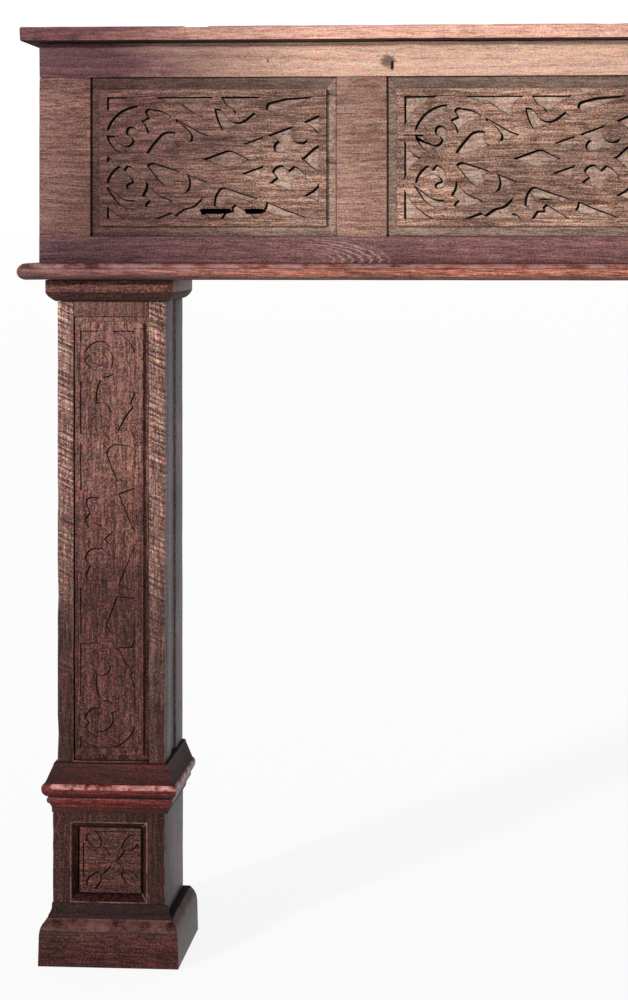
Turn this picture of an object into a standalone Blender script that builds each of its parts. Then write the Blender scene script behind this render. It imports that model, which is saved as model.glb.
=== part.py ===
# Carved wooden fireplace mantel: two boxed legs carry a soffit board, a framed frieze and a shelf.
# Metres, +Z up, the front faces -Y, and the origin is on the floor under the middle of the mantel.

import math

import bmesh
import bpy

# Clearance left between pieces that touch
CLEAR = 0.0003

# Legs
LEG_HEIGHT = 1.024          # floor to the underside of the soffit board
SHAFT_WIDTH = 0.163
SHAFT_DEPTH = 0.172
SHAFT_BOARD = 0.020         # thickness of the shaft's frame and of its sides
SHAFT_STILE = 0.0249
SHAFT_TOP_RAIL = 0.023
SHAFT_FOOT_RAIL = 0.0505
SUNK_START = 0.059          # a sunk strip down each side of the shaft, measured from the front
SUNK_END = 0.104
SUNK_DEPTH = 0.003
VINE_OUTER_MARGIN = 0.003
VINE_INNER_MARGIN = 0.007
VINE_END_MARGIN = 0.0099
VINE_OUTER_BORDER = 0.0068
VINE_INNER_BORDER = 0.0127
VINE_END_BORDER = 0.011
SHAFT_EDGE_DROP = 0.012     # depth of the groove round the shaft's panel

# Capital, a slab that is bevelled below
CAPITAL_HEIGHT = 0.0325
CAPITAL_BEVEL = 0.0135
CAPITAL_PROJECTION = 0.0155

# Base block, its plinth and the moulding between block and shaft. Each projects so far outside the
# shaft's faces; the block stands a little off the shaft's middle, away from the fire.
BLOCK_HEIGHT = 0.252
BLOCK_PROJECTION = 0.004
BLOCK_OUTER_PROJECTION = 0.0063
BLOCK_INNER_PROJECTION = 0.0007
BLOCK_BOARD = 0.018
RECESS_WIDTH = 0.114
RECESS_HEIGHT = 0.1185
RECESS_SILL = 0.092
RECESS_SLOPE = 0.010        # how far each sloping side of the recess runs in
TILE_GROUND = 0.008
TILE_LAP = 0.008            # how far the tile's ground reaches behind the block's front
PLINTH_PROJECTION = 0.0245
PLINTH_FACE = 0.046         # height of the upright face
PLINTH_SHOULDER = 0.0235    # height of the rounded shoulder above it
PLINTH_COVE = 0.0225        # height of the cove above the shoulder, missing on the side of the fire
WAIST_PROJECTION = 0.0202
WAIST_SLOPE = 0.0275        # height of the slope above the torus, with a thin lip on top
WAIST_LIP = 0.005
WAIST_TORUS = 0.0205
WAIST_LAP = 0.0012          # how far the torus hangs below the block's top
WAIST_BEAD = 0.0115
WAIST_COVE = 0.0135

# Frieze, soffit board and shelf
FRIEZE_WIDTH = 1.783
FRIEZE_HEIGHT = 0.3275
FRIEZE_PROJECTION = 0.0228  # in front of and outside the shafts
FRIEZE_BOARD = 0.022
FRIEZE_END_STILE = 0.0775
FRIEZE_INNER_STILE = 0.0745
FRIEZE_TOP_RAIL = 0.051
FRIEZE_FOOT_RAIL = 0.0392
SIDE_OPENING = 0.368
FRIEZE_SIDE_MARGIN = 0.0148     # bevelled margins of the raised panels
FRIEZE_TOP_MARGIN = 0.0188
FRIEZE_FOOT_MARGIN = 0.0154
FRIEZE_EDGE_DROP = 0.010
SOFFIT_THICKNESS = 0.025
SOFFIT_PROJECTION = 0.0276
SHELF_THICKNESS = 0.023
SHELF_PROJECTION = 0.0245
SHELF_EASE = 0.002

# Fretwork boards, laid on the raised panels
FIELD_DROP = 0.003          # the panels' fields lie this far behind the face of their frame
FRET_THICKNESS = 0.0055
FRET_BORDER = 0.0107
TILE_THICKNESS = 0.005

# Damage: slots broken into the left frieze panel, and a chip out of the shelf's front edge
SLOT_HEIGHT = 0.0085
SLOTS = ((0.1635, 0.051), (0.230, 0.034))   # distance from the panel opening's left side, and length
SLOT_RISE = 0.0335          # height of the slots above the panel opening's sill
SLOT_DEPTH = 0.015          # into the panel, from its field
CHIP_CENTRE = -0.651
CHIP_LENGTH = 0.056
CHIP_DEPTH = 0.0032

# Levels and faces that follow from the sizes above
SHAFT_TOP = LEG_HEIGHT - CAPITAL_HEIGHT
FRIEZE_FOOT = LEG_HEIGHT + SOFFIT_THICKNESS
FRIEZE_TOP = FRIEZE_FOOT + FRIEZE_HEIGHT
FRIEZE_DEPTH = SHAFT_DEPTH + FRIEZE_PROJECTION
OVERALL_DEPTH = FRIEZE_DEPTH + max(SOFFIT_PROJECTION, SHELF_PROJECTION)
BACK = OVERALL_DEPTH / 2
SHAFT_FRONT = BACK - SHAFT_DEPTH
FRIEZE_FRONT = BACK - FRIEZE_DEPTH
LEG_CENTRE = FRIEZE_WIDTH / 2 - FRIEZE_PROJECTION - SHAFT_WIDTH / 2
CENTRE_OPENING = FRIEZE_WIDTH - 2 * (FRIEZE_END_STILE + FRIEZE_INNER_STILE + SIDE_OPENING)
OPENING_FOOT = FRIEZE_FOOT + FRIEZE_FOOT_RAIL
OPENING_TOP = FRIEZE_TOP - FRIEZE_TOP_RAIL

# The frieze's fretwork is drawn on squares, which are sized to fill the long panel.
# Its pockets are rings of corners (u, v), u from the outer end to the panel's middle and v upwards.
# A third number bows the side that starts there, as a share of its length, positive to the left.
FRET_GROUND = 0.2           # squares between the outermost pockets and the border strips
FRET_CROP = 11.5            # squares cut off the outer end of the drawing on the two short panels
FRET_SLIVER = 8.0           # pockets cropped to less than this many squares are left solid
FRET_POCKETS = {
    "upper_corner": [(0.3, 58.5), (34, 58.5, -0.10), (0.5, 29)],
    "upper_crescent": [(10.3, 24.5, 0.17), (43.5, 50.3), (40.5, 46), (40.3, 39.8, -0.08), (12.5, 25)],
    "upper_scroll": [
        (0.4, 20.8), (0.4, 19.7), (10.8, 19.7, -0.10), (24, 3.3), (28, 7), (31.3, 3.6, -0.18), (42.3, 21.5, -0.21),
        (36, 29.8, -0.26), (30.5, 23, -0.16), (35, 19.3), (37, 16.4, 0.3), (26.5, 12.2, 0.1), (19.3, 18.8),
        (19.3, 20.6)],
    "heart": [(0.3, 18.2, -0.14), (16.7, -2.3, -0.09), (0.3, -25)],
    "lower_scroll": [
        (10.8, -26.5, 0.12), (23.8, -9), (28, -13.4), (31.5, -8.8, 0.2), (42, -22, 0.2), (35.5, -33, 0.26),
        (30.3, -29.5, 0.15), (34, -26), (36.8, -25, -0.16), (29, -18.5, -0.08), (12.6, -27)],
    "lower_crescent": [
        (9.7, -29.3), (15, -32.2), (27.5, -41.6, -0.05), (39.9, -43.4), (39.5, -50), (42, -53.5), (37, -53),
        (31, -51.8, 0.06), (19.2, -43.4), (10.5, -31)],
    "lower_corner": [(0.2, -33, -0.09), (30, -62), (0.2, -62)],
    "upper_leaf": [
        (45.6, 34.8), (52.7, 38.4), (49.6, 43.6, 0.27), (57.5, 46.4, 0.1), (77.3, 38.6, 0.04), (58.3, 30.3),
        (53, 21.3), (50, 30)],
    "lower_leaf": [
        (51.2, -24, -0.06), (63.5, -38), (78.5, -44.3), (66, -50.3, 0.08), (52, -50.8, 0.27), (50, -46.6),
        (53.6, -43.4), (46.5, -39), (50.8, -31)],
    "upper_teardrop": [
        (50.8, 3), (57, 12), (65.8, 22, 0.12), (81, 23.2), (78.6, 17.5, -0.14), (85.8, 10.2, 0.03), (66, 3.2),
        (57.5, 0.4)],
    "lower_teardrop": [
        (51.2, -8.8), (55.8, -5.6), (66, -8.5), (85.3, -15.2), (79.6, -18.8, -0.15), (81.5, -28.3), (76, -30.3),
        (69.5, -30), (61.5, -22)],
    "upper_spur": [(80.8, 37.3), (90.8, 31.8), (103.3, 24.6), (114.3, 20.4), (103.3, 16), (92.3, 13, -0.28),
                   (93.8, 24, -0.08), (81, 33.8)],
    "lower_spur": [(91, -17.3), (105.8, -22.9), (112.5, -25.4), (100, -31.7), (87.2, -38, -0.24)],
    "upper_long": [
        (59.5, 58.5), (118.8, 58.5), (114.8, 55.2), (107.8, 51.3), (106.9, 48), (107.8, 45), (106.8, 41.2),
        (108.6, 37.2), (93.8, 45), (85.8, 51.8), (80.4, 53.8), (78.8, 51)],
    "lower_long": [
        (59, -62), (76, -55.5), (80, -58.1), (89.6, -51), (97.5, -50.2), (108.4, -40.4), (105, -52), (106, -56.3),
        (110.8, -56.8), (116.5, -62)],
    "upper_hook": [
        (119.6, 46.7), (125.8, 46.9), (130.2, 42), (133, 37.6, -0.2), (151, 36.7), (159, 42.8), (163.5, 38.8),
        (145, 31), (127.5, 25.6, 0.06)],
    "lower_hook": [
        (119.2, -49, 0.12), (125.8, -30.8), (130, -30.6), (145, -35.9), (164, -42.2), (160.5, -43), (156.7, -47),
        (150.8, -43.4), (141, -41.6, -0.18), (129.6, -48.6), (125.5, -49.4), (122.5, -51.3)],
    "upper_wing": [(125.8, 58.5), (167, 58.5), (156.7, 53.4), (140.3, 41.5), (137.4, 47.6), (131.7, 49.2)],
    "lower_wing": [(125.8, -62), (131, -54), (137.6, -53.6), (136.8, -50.5), (140.4, -47.3), (163.5, -62)],
    "upper_blade": [
        (171.3, 46, 0.22), (175.8, 53.2), (190, 56.6), (219, 58.3), (205, 52), (190, 46.6), (176.8, 42.4)],
    "lower_blade": [(172, -44.8), (190, -52.4), (212.8, -60.8), (190, -60.6), (175, -57), (168.7, -53), (170.5, -50.4)],
    "upper_wedge": [(148.5, 12.2), (169, 19.3), (166, 12), (168, 3.8)],
    "lower_wedge": [(146.5, -17.3), (169.5, -9.2), (166.4, -15), (167, -23.3)],
    "upper_trefoil": [
        (172.8, 20.6), (200.3, 30.3, -0.24), (198, 16.2, -0.14), (209.3, 14.2), (213.8, 17.2), (211, 11.5),
        (201, 4.4), (195, 7), (188.3, 3.3, 0.24), (178.6, 8.7, 0.13), (183.3, 15.2)],
    "lower_trefoil": [
        (174.8, -26.5), (182, -21), (177.2, -15.5, 0.2), (188.5, -9.2), (193.5, -14.4), (199.2, -9.5, 0.12),
        (213, -24), (205.8, -20.9, -0.3), (198, -33), (200.5, -36), (190, -32.4)],
    "lozenge": [(107.8, -3), (134.5, 6.9), (155, -3.5), (132.5, -12.6)],
}
# Left halves of the pockets on the long panel's middle line, from its upper to its lower end
FRET_MIDDLE_POCKETS = {
    "upper_bell": [(232.5, 43), (220, 38.6), (208.8, 33.4), (217, 29), (224, 20.5), (232.5, 19.5)],
    "star": [(232.5, 15), (219, 8.2), (208.8, -1.2), (206, -2.4), (208.8, -3.8), (219, -13.2), (232.5, -20)],
    "lower_bell": [(232.5, -24.5), (226, -25), (219.5, -33), (208.8, -39.4), (220, -43), (232.5, -49)],
}

# The vine on each shaft: u runs from the outer border across the shaft, v from the vine's middle up
VINE_POCKETS = {
    "corner": [(0.3, 208.7), (20.5, 208.7, -0.12), (0.3, 197.5)],
    "crescent": [(30, 208.7), (55.3, 208.7), (55.3, 185.5, -0.16)],
    "ring": [(37.2, 171.5, -0.12), (26.3, 197.5, -0.2), (5, 187.8), (9, 184.3), (4.4, 180.3, -0.25),
             (24, 170.5), (23, 174.5, 0.28), (12.5, 184, 0.3), (22.5, 192.5, 0.25), (31.5, 174)],
    "sliver": [(22, 161.5), (32.6, 165.2), (31, 162)],
    "leaf": [(20.5, 159.6, 0.09), (38.9, 135.5, 0.1), (29.7, 126.3, -0.35), (17, 135, 0.1)],
    "edge": [(55.3, 149.5), (50.4, 135.5), (52.7, 132.7), (44.6, 121.7), (37.7, 108.5), (51.5, 108),
             (55.3, 100.5)],
    "bank": [(0.3, 159.6), (9.6, 130.4, -0.25), (13.6, 120.6), (19.9, 104), (0.3, 105)],
    "lobe": [(26.3, 86, 0.15), (36, 95.4), (50.4, 93.6), (55, 89.6), (42.3, 76.5), (50.4, 66.6),
             (55.3, 59), (37.2, 57.6), (30.9, 73.5)],
    "tooth": [(0.3, 97), (2.7, 91.9), (1, 82), (10.2, 67.4), (3.9, 51.9), (0.3, 48)],
    "crook": [(19.4, 41.5), (11.3, 42.1, -0.2), (5.6, 36), (9.6, 26), (5.2, 21, -0.22), (15.9, 8.8),
              (24, 9.5), (22, 14.5, 0.25), (12, 22), (13.5, 27.5), (16, 37)],
    "long": [(38.9, 45.6), (44.6, 47.8), (55.3, 52), (55.3, 5.4)],
}
VINE_KITE = [(24, 0), (33.1, 7.7), (36, 0), (33.1, -7.7)]

# The tile on each base block: a four-petalled rosette, a quarter of it drawn from the tile's middle
TILE_BORDER = 3.5           # squares between the pockets and the tile's edge
TILE_POCKETS = {
    "gore": [(-17, 27.5), (17, 27.5, -0.12), (9.5, 17), (10.5, 13.5, -0.1), (0, 4.5, -0.1),
             (-10.5, 13.5), (-9.5, 17, -0.12)],
    "petal": [(11, 11, 0.1), (15, 20, 0.2), (24, 24, 0.2), (20, 15, 0.1)],
}

ARC_STEP = 42.0             # degrees of arc for each straight piece of a bowed side


def reach(drawing, axis, way=1):
    """How far the corners of a drawing reach along u (0) or v (1), or with way -1 how far the other way."""
    return way * max(way * corner[axis] for corners in drawing for corner in corners)


FRET_LENGTH = reach(FRET_MIDDLE_POCKETS.values(), 0)
FRET_TOP = reach(FRET_POCKETS.values(), 1) + FRET_GROUND
FRET_FOOT = reach(FRET_POCKETS.values(), 1, -1) - FRET_GROUND
VINE_ACROSS = reach(VINE_POCKETS.values(), 0) + FRET_GROUND
VINE_RISE = reach(VINE_POCKETS.values(), 1) + FRET_GROUND
TILE_RISE = reach(TILE_POCKETS.values(), 1) + TILE_BORDER


# Materials

FINISHES = {
    "shelf_wood": (0.20, 0.085, 0.060),
    "frame_wood": (0.17, 0.080, 0.058),
    "panel_wood": (0.24, 0.135, 0.095),
    "fret_wood": (0.21, 0.120, 0.088),
    "leg_wood": (0.095, 0.030, 0.025),
    "leg_carving_wood": (0.085, 0.032, 0.028),
    "moulding_wood": (0.13, 0.026, 0.020),
}
WOOD_ROUGHNESS = 0.5


def finish(name):
    material = bpy.data.materials.get(name)
    if material is None:
        material = bpy.data.materials.new(name)
        material.use_nodes = True
        shader = material.node_tree.nodes["Principled BSDF"]
        shader.inputs["Base Color"].default_value = (*FINISHES[name], 1.0)
        shader.inputs["Roughness"].default_value = WOOD_ROUGHNESS
        shader.inputs["Metallic"].default_value = 0.0
    return material


# Building blocks

def keep(name, mesh, wood):
    """Turns a finished bmesh into an object of the scene."""
    bmesh.ops.recalc_face_normals(mesh, faces=mesh.faces)
    data = bpy.data.meshes.new(name)
    mesh.to_mesh(data)
    mesh.free()
    data.materials.append(finish(wood))
    piece = bpy.data.objects.new(name, data)
    bpy.context.scene.collection.objects.link(piece)
    return piece


def span(low, high):
    return min(low, high), max(low, high)


def board(name, wood, x, y, z):
    """A square-edged board between three pairs of faces."""
    mesh = bmesh.new()
    sides = [span(*pair) for pair in (x, y, z)]
    bmesh.ops.create_cube(mesh, size=1.0)
    bmesh.ops.scale(mesh, verts=mesh.verts, vec=[high - low for low, high in sides])
    bmesh.ops.translate(mesh, verts=mesh.verts, vec=[(high + low) / 2 for low, high in sides])
    return keep(name, mesh, wood)


def skin(mesh, rings, closed=False):
    """Joins rings of equally many corners with faces, and caps the first and last unless closed."""
    count = len(rings[0])
    pairs = list(zip(rings, rings[1:]))
    if closed:
        pairs.append((rings[-1], rings[0]))
    for lower, upper in pairs:
        for i in range(count):
            j = (i + 1) % count
            mesh.faces.new((lower[i], lower[j], upper[j], upper[i]))
    if not closed:
        mesh.faces.new(rings[0])
        mesh.faces.new(rings[-1])


def rectangle(mesh, x, z, y):
    """A ring of four corners in the plane at y."""
    (left, right), (foot, top) = span(*x), span(*z)
    return [mesh.verts.new(corner) for corner in
            ((left, y, foot), (right, y, foot), (right, y, top), (left, y, top))]


def profiled_slab(name, wood, centre, half_width, front, profile):
    """A board whose front edge and two ends follow a profile of (projection, height); its back is square."""
    mesh = bmesh.new()
    rings = []
    for out, height in profile:
        left, right = centre - half_width - out, centre + half_width + out
        rings.append([mesh.verts.new(corner) for corner in (
            (left, front - out, height), (right, front - out, height),
            (right, BACK, height), (left, BACK, height))])
    skin(mesh, rings)
    return keep(name, mesh, wood)


def mitred_mouldings(name, wood, centre, side, half_width, front, sections):
    """A moulding round three sides of a box: a front run and two returns, mitred at the corners."""
    mesh = bmesh.new()
    ends = [[mesh.verts.new((centre + end * (half_width + out - CLEAR), front - out, height))
             for out, height in sections["front"]] for end in (-1, 1)]
    skin(mesh, ends)
    keep(name + "_front", mesh, wood)
    for end, place in ((side, "outer"), (-side, "inner")):
        section = sections[place]
        mesh = bmesh.new()
        ends = [[mesh.verts.new((centre + end * (half_width + out), y, height))
                 for (out, height), y in zip(section, depths)]
                for depths in ([front - out + CLEAR for out, height in section], [BACK] * len(section))]
        skin(mesh, ends)
        keep(f"{name}_{place}_return", mesh, wood)


def raised_panel(name, wood, x, z, face, margins, edge_drop, back):
    """A panel whose bevelled margins rise from the groove to a flat field; x margins run low to high."""
    mesh = bmesh.new()
    (left, right), (foot, top) = span(*x), span(*z)
    low_side, high_side, foot_end, top_end = margins
    edge = face + edge_drop
    rings = [rectangle(mesh, (left, right), (foot, top), back),
             rectangle(mesh, (left, right), (foot, top), edge),
             rectangle(mesh, (left + low_side, right - high_side), (foot + foot_end, top - top_end),
                       face + FIELD_DROP)]
    skin(mesh, rings)
    return keep(name, mesh, wood)


# Fretwork

def arc_points(start, end, bow):
    """Corners along an arc between two points, both ends left out."""
    chord = math.dist(start, end)
    rise = abs(bow) * chord
    radius = (chord * chord / 4 + rise * rise) / (2 * rise)
    sweep = 4 * math.atan(2 * abs(bow))
    turn = math.copysign(1, bow)
    across = ((start[1] - end[1]) / chord * turn, (end[0] - start[0]) / chord * turn)
    centre = [(start[i] + end[i]) / 2 + across[i] * (rise - radius) for i in (0, 1)]
    first = math.atan2(start[1] - centre[1], start[0] - centre[0])
    pieces = max(2, round(math.degrees(sweep) / ARC_STEP))
    return [(centre[0] + radius * math.cos(first - turn * sweep * k / pieces),
             centre[1] + radius * math.sin(first - turn * sweep * k / pieces))
            for k in range(1, pieces)]


def outline(corners):
    """The plain ring of points of a pocket, with its bowed sides drawn out."""
    ring = []
    for here, after in zip(corners, corners[1:] + corners[:1]):
        ring.append(here[:2])
        if len(here) == 3:
            ring += arc_points(here[:2], after[:2], here[2])
    return ring


def flipped(ring, across=None):
    """The ring mirrored in the middle line, or in the line u = across."""
    if across is None:
        return [(u, -v) for u, v in reversed(ring)]
    return [(2 * across - u, v) for u, v in reversed(ring)]


def area(ring):
    return abs(sum(a[0] * b[1] - b[0] * a[1] for a, b in zip(ring, ring[1:] + ring[:1]))) / 2


def cropped(ring, limit, keep_above):
    """What is left of a ring on one side of the line u = limit."""
    def inside(point):
        return point[0] >= limit if keep_above else point[0] <= limit

    result = []
    for here, after in zip(ring, ring[1:] + ring[:1]):
        if inside(here):
            result.append(here)
        if inside(here) != inside(after):
            share = (limit - here[0]) / (after[0] - here[0])
            result.append((limit, here[1] + share * (after[1] - here[1])))
    return result


def fret_rings():
    """The pockets of the left half of the long panel, and those that stand on its middle."""
    half = [outline(corners) for corners in FRET_POCKETS.values()]
    on_middle = []
    for corners in FRET_MIDDLE_POCKETS.values():
        left = outline(corners)
        on_middle.append(left + flipped(left, FRET_LENGTH)[1:-1])
    return half, on_middle


def pierced_board(name, wood, x, z, y, rings):
    """A thin board between y[0] and y[1] with pockets cut through it; the rings are in (x, z)."""
    mesh = bmesh.new()
    (left, right), (foot, top) = span(*x), span(*z)
    for ring in [[(left, foot), (right, foot), (right, top), (left, top)]] + rings:
        corners = [mesh.verts.new((a, y[0], b)) for a, b in ring]
        for here, after in zip(corners, corners[1:] + corners[:1]):
            mesh.edges.new((here, after))
    bmesh.ops.triangle_fill(mesh, edges=mesh.edges[:], use_beauty=True, use_dissolve=False,
                            normal=(0, -1, 0))
    thick = bmesh.ops.extrude_face_region(mesh, geom=mesh.faces[:])
    moved = [part for part in thick["geom"] if isinstance(part, bmesh.types.BMVert)]
    bmesh.ops.translate(mesh, verts=moved, vec=(0, y[1] - y[0], 0))
    return keep(name, mesh, wood)


def cut(piece, cutter):
    """Cuts the piece with a cutter that is left out of the model."""
    cutter.hide_render = True
    cutter.display_type = "WIRE"
    tool = piece.modifiers.new(cutter.name, "BOOLEAN")
    tool.operation = "DIFFERENCE"
    tool.solver = "EXACT"
    tool.object = cutter


def cutter_prism(name, corners, y):
    """A prism along Y over corners in (x, z)."""
    mesh = bmesh.new()
    skin(mesh, [[mesh.verts.new((a, depth, b)) for a, b in corners] for depth in y])
    return keep(name, mesh, "panel_wood")


# Shelf, soffit board and frieze

def shelf():
    foot = FRIEZE_TOP + CLEAR
    top = FRIEZE_TOP + SHELF_THICKNESS
    out = SHELF_PROJECTION
    profile = [(out - SHELF_EASE, foot), (out, foot + SHELF_EASE), (out, top - SHELF_EASE),
               (out - SHELF_EASE, top)]
    piece = profiled_slab("shelf", "shelf_wood", 0, FRIEZE_WIDTH / 2, FRIEZE_FRONT, profile)
    overshoot = CHIP_DEPTH
    corners = [(CHIP_CENTRE - CHIP_LENGTH / 2, top + overshoot),
               (CHIP_CENTRE - CHIP_LENGTH / 4, top - CHIP_DEPTH * 0.7),
               (CHIP_CENTRE + CHIP_LENGTH / 5, top - CHIP_DEPTH),
               (CHIP_CENTRE + CHIP_LENGTH / 2, top + overshoot)]
    front = FRIEZE_FRONT - out
    cut(piece, cutter_prism("shelf_chip", corners, (front - out, front + out)))


def soffit():
    radius = SOFFIT_THICKNESS / 2
    middle = LEG_HEIGHT + radius
    steps = 6
    profile = []
    for k in range(steps + 1):
        angle = math.pi * (k / steps - 0.5)
        profile.append((SOFFIT_PROJECTION - radius + radius * math.cos(angle),
                        middle + (radius - CLEAR / 2) * math.sin(angle)))
    profiled_slab("soffit_board", "moulding_wood", 0, FRIEZE_WIDTH / 2, FRIEZE_FRONT, profile)


def frieze_openings():
    """Name and left and right side of each panel opening of the frieze."""
    left = -FRIEZE_WIDTH / 2 + FRIEZE_END_STILE
    centre = CENTRE_OPENING / 2
    return {"left": (left, left + SIDE_OPENING), "centre": (-centre, centre),
            "right": (-left - SIDE_OPENING, -left)}


def frieze_frame():
    half = FRIEZE_WIDTH / 2
    depth = (FRIEZE_FRONT, FRIEZE_FRONT + FRIEZE_BOARD)
    rail_x = (-half, half)
    board("frieze_top_rail", "frame_wood", rail_x, depth, (OPENING_TOP, FRIEZE_TOP - CLEAR))
    board("frieze_foot_rail", "frame_wood", rail_x, depth, (FRIEZE_FOOT + CLEAR, OPENING_FOOT))
    stile_z = (OPENING_FOOT + CLEAR, OPENING_TOP - CLEAR)
    for side, name in ((-1, "left"), (1, "right")):
        outer = side * half
        board(f"frieze_{name}_end_stile", "frame_wood", (outer, outer - side * FRIEZE_END_STILE),
              depth, stile_z)
        inner = side * CENTRE_OPENING / 2
        board(f"frieze_{name}_inner_stile", "frame_wood", (inner, inner + side * FRIEZE_INNER_STILE),
              depth, stile_z)
        board(f"frieze_{name}_end", "frame_wood", (outer, outer - side * FRIEZE_BOARD),
              (depth[1] + CLEAR, BACK), (FRIEZE_FOOT + CLEAR, FRIEZE_TOP - CLEAR))


def frieze_panels():
    panels = {}
    margins = [margin - CLEAR for margin in
               (FRIEZE_SIDE_MARGIN, FRIEZE_SIDE_MARGIN, FRIEZE_FOOT_MARGIN, FRIEZE_TOP_MARGIN)]
    for name, (left, right) in frieze_openings().items():
        panels[name] = raised_panel(
            f"frieze_{name}_panel", "panel_wood", (left + CLEAR, right - CLEAR),
            (OPENING_FOOT + CLEAR, OPENING_TOP - CLEAR), FRIEZE_FRONT, margins, FRIEZE_EDGE_DROP,
            FRIEZE_FRONT + FRIEZE_BOARD)
    return panels


def frieze_fretwork():
    half, on_middle = fret_rings()
    length = 2 * FRET_LENGTH
    field = CENTRE_OPENING - 2 * (FRIEZE_SIDE_MARGIN + FRET_BORDER)
    square = field / length
    z = (OPENING_FOOT + FRIEZE_FOOT_MARGIN, OPENING_TOP - FRIEZE_TOP_MARGIN)
    up = (z[1] - z[0] - 2 * FRET_BORDER) / (FRET_TOP - FRET_FOOT)
    middle = z[0] + FRET_BORDER - FRET_FOOT * up      # level of the drawing's v = 0
    ground = FRIEZE_FRONT + FIELD_DROP - CLEAR
    y = (ground, ground - FRET_THICKNESS)
    whole = half + [flipped(ring, FRET_LENGTH) for ring in half] + on_middle

    boards = {}
    for name, (left, right) in frieze_openings().items():
        x = (left + FRIEZE_SIDE_MARGIN, right - FRIEZE_SIDE_MARGIN)
        if name == "centre":
            rings = [[((u - FRET_LENGTH) * square, middle + v * up) for u, v in ring] for ring in whole]
        else:
            shown = (SIDE_OPENING - 2 * (FRIEZE_SIDE_MARGIN + FRET_BORDER)) / square
            pockets = [cropped(cropped(ring, FRET_CROP, True), FRET_CROP + shown, False)
                       for ring in half + on_middle]
            pockets = [ring for ring in pockets if len(ring) > 2 and area(ring) > FRET_SLIVER]
            side = 1 if name == "left" else -1
            start = min(x) + FRET_BORDER if side > 0 else max(x) - FRET_BORDER
            rings = [[(start + side * (u - FRET_CROP) * square, middle + v * up) for u, v in ring]
                     for ring in pockets]
        boards[name] = pierced_board(f"frieze_{name}_fretwork", "fret_wood", x, z, y, rings)
    return boards


def broken_slots(panel, fretwork):
    """Two ragged slots broken through the left fretwork and deep into the panel behind it."""
    left = frieze_openings()["left"][0]
    foot = OPENING_FOOT + SLOT_RISE
    y = (FRIEZE_FRONT - FRIEZE_BOARD, FRIEZE_FRONT + FIELD_DROP + SLOT_DEPTH)
    for number, (start, length) in enumerate(SLOTS, 1):
        a, b = left + start, left + start + length
        taper = SLOT_HEIGHT
        corners = [(a, foot), (b - taper, foot - SLOT_HEIGHT * 0.1), (b, foot + SLOT_HEIGHT * 0.3),
                   (b - taper, foot + SLOT_HEIGHT), (a + taper * 0.4, foot + SLOT_HEIGHT * 0.9)]
        cutter = cutter_prism(f"broken_slot_{number}", corners, y)
        cut(panel, cutter)
        cut(fretwork, cutter)


# Legs

def leg(name, side):
    """One leg; side is -1 on the left and 1 on the right, and 'outer' is the side away from the fire."""
    centre = side * LEG_CENTRE
    half = SHAFT_WIDTH / 2
    foot, top = BLOCK_HEIGHT + CLEAR, SHAFT_TOP - CLEAR
    front, frame_back = SHAFT_FRONT, SHAFT_FRONT + SHAFT_BOARD

    def across(outer, inner):
        """Two distances from the leg's middle, the first towards the outer side, as places along X."""
        return centre + side * outer, centre - side * inner

    shaft_frame(name, across, half, (front, frame_back), (foot, top))
    vine_panel(name, across, half)
    for place, hand in (("outer", side), ("inner", -side)):
        shaft_side(f"{name}_shaft_{place}_side", centre + hand * half, -hand, frame_back, (foot, top))
    capital(name, centre, half)
    waist(name, centre, side, half)
    block(name, centre, side, half)
    plinth(name, centre, side, half)


def shaft_frame(name, across, half, y, z):
    inside = half - SHAFT_STILE
    board(f"{name}_shaft_outer_stile", "leg_wood", across(half, -inside), y, z)
    board(f"{name}_shaft_inner_stile", "leg_wood", across(-inside, half), y, z)
    rail_x = across(inside - CLEAR, inside - CLEAR)
    board(f"{name}_shaft_top_rail", "leg_wood", rail_x, y, (SHAFT_TOP - SHAFT_TOP_RAIL, z[1]))
    board(f"{name}_shaft_foot_rail", "leg_wood", rail_x, y, (z[0], BLOCK_HEIGHT + SHAFT_FOOT_RAIL))


def vine_panel(name, across, half):
    """The raised panel of the shaft and the pierced vine board on it."""
    inside = half - SHAFT_STILE
    foot = BLOCK_HEIGHT + SHAFT_FOOT_RAIL
    top = SHAFT_TOP - SHAFT_TOP_RAIL
    x = across(inside - CLEAR, inside - CLEAR)
    outer_first = x[0] < x[1]
    sides = (VINE_OUTER_MARGIN, VINE_INNER_MARGIN) if outer_first else (VINE_INNER_MARGIN, VINE_OUTER_MARGIN)
    raised_panel(f"{name}_shaft_panel", "leg_wood", x, (foot + CLEAR, top - CLEAR), SHAFT_FRONT,
                 (*sides, VINE_END_MARGIN, VINE_END_MARGIN), SHAFT_EDGE_DROP, SHAFT_FRONT + SHAFT_BOARD)
    outer = inside - VINE_OUTER_MARGIN - CLEAR
    inner = inside - VINE_INNER_MARGIN - CLEAR
    board_x = across(outer, inner)
    board_z = (foot + VINE_END_MARGIN, top - VINE_END_MARGIN)
    field = outer + inner - VINE_OUTER_BORDER - VINE_INNER_BORDER
    middle = (foot + top) / 2
    square = field / VINE_ACROSS
    up = ((board_z[1] - board_z[0]) / 2 - VINE_END_BORDER) / VINE_RISE
    start = outer - VINE_OUTER_BORDER
    rings = [outline(VINE_KITE)]
    for corners in VINE_POCKETS.values():
        rings += [outline(corners), flipped(outline(corners))]
    rings = [[(across(start - u * square, 0)[0], middle + v * up) for u, v in ring] for ring in rings]
    ground = SHAFT_FRONT + FIELD_DROP - CLEAR
    pierced_board(f"{name}_vine", "leg_carving_wood", board_x, board_z, (ground, ground - FRET_THICKNESS),
                  rings)


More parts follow.
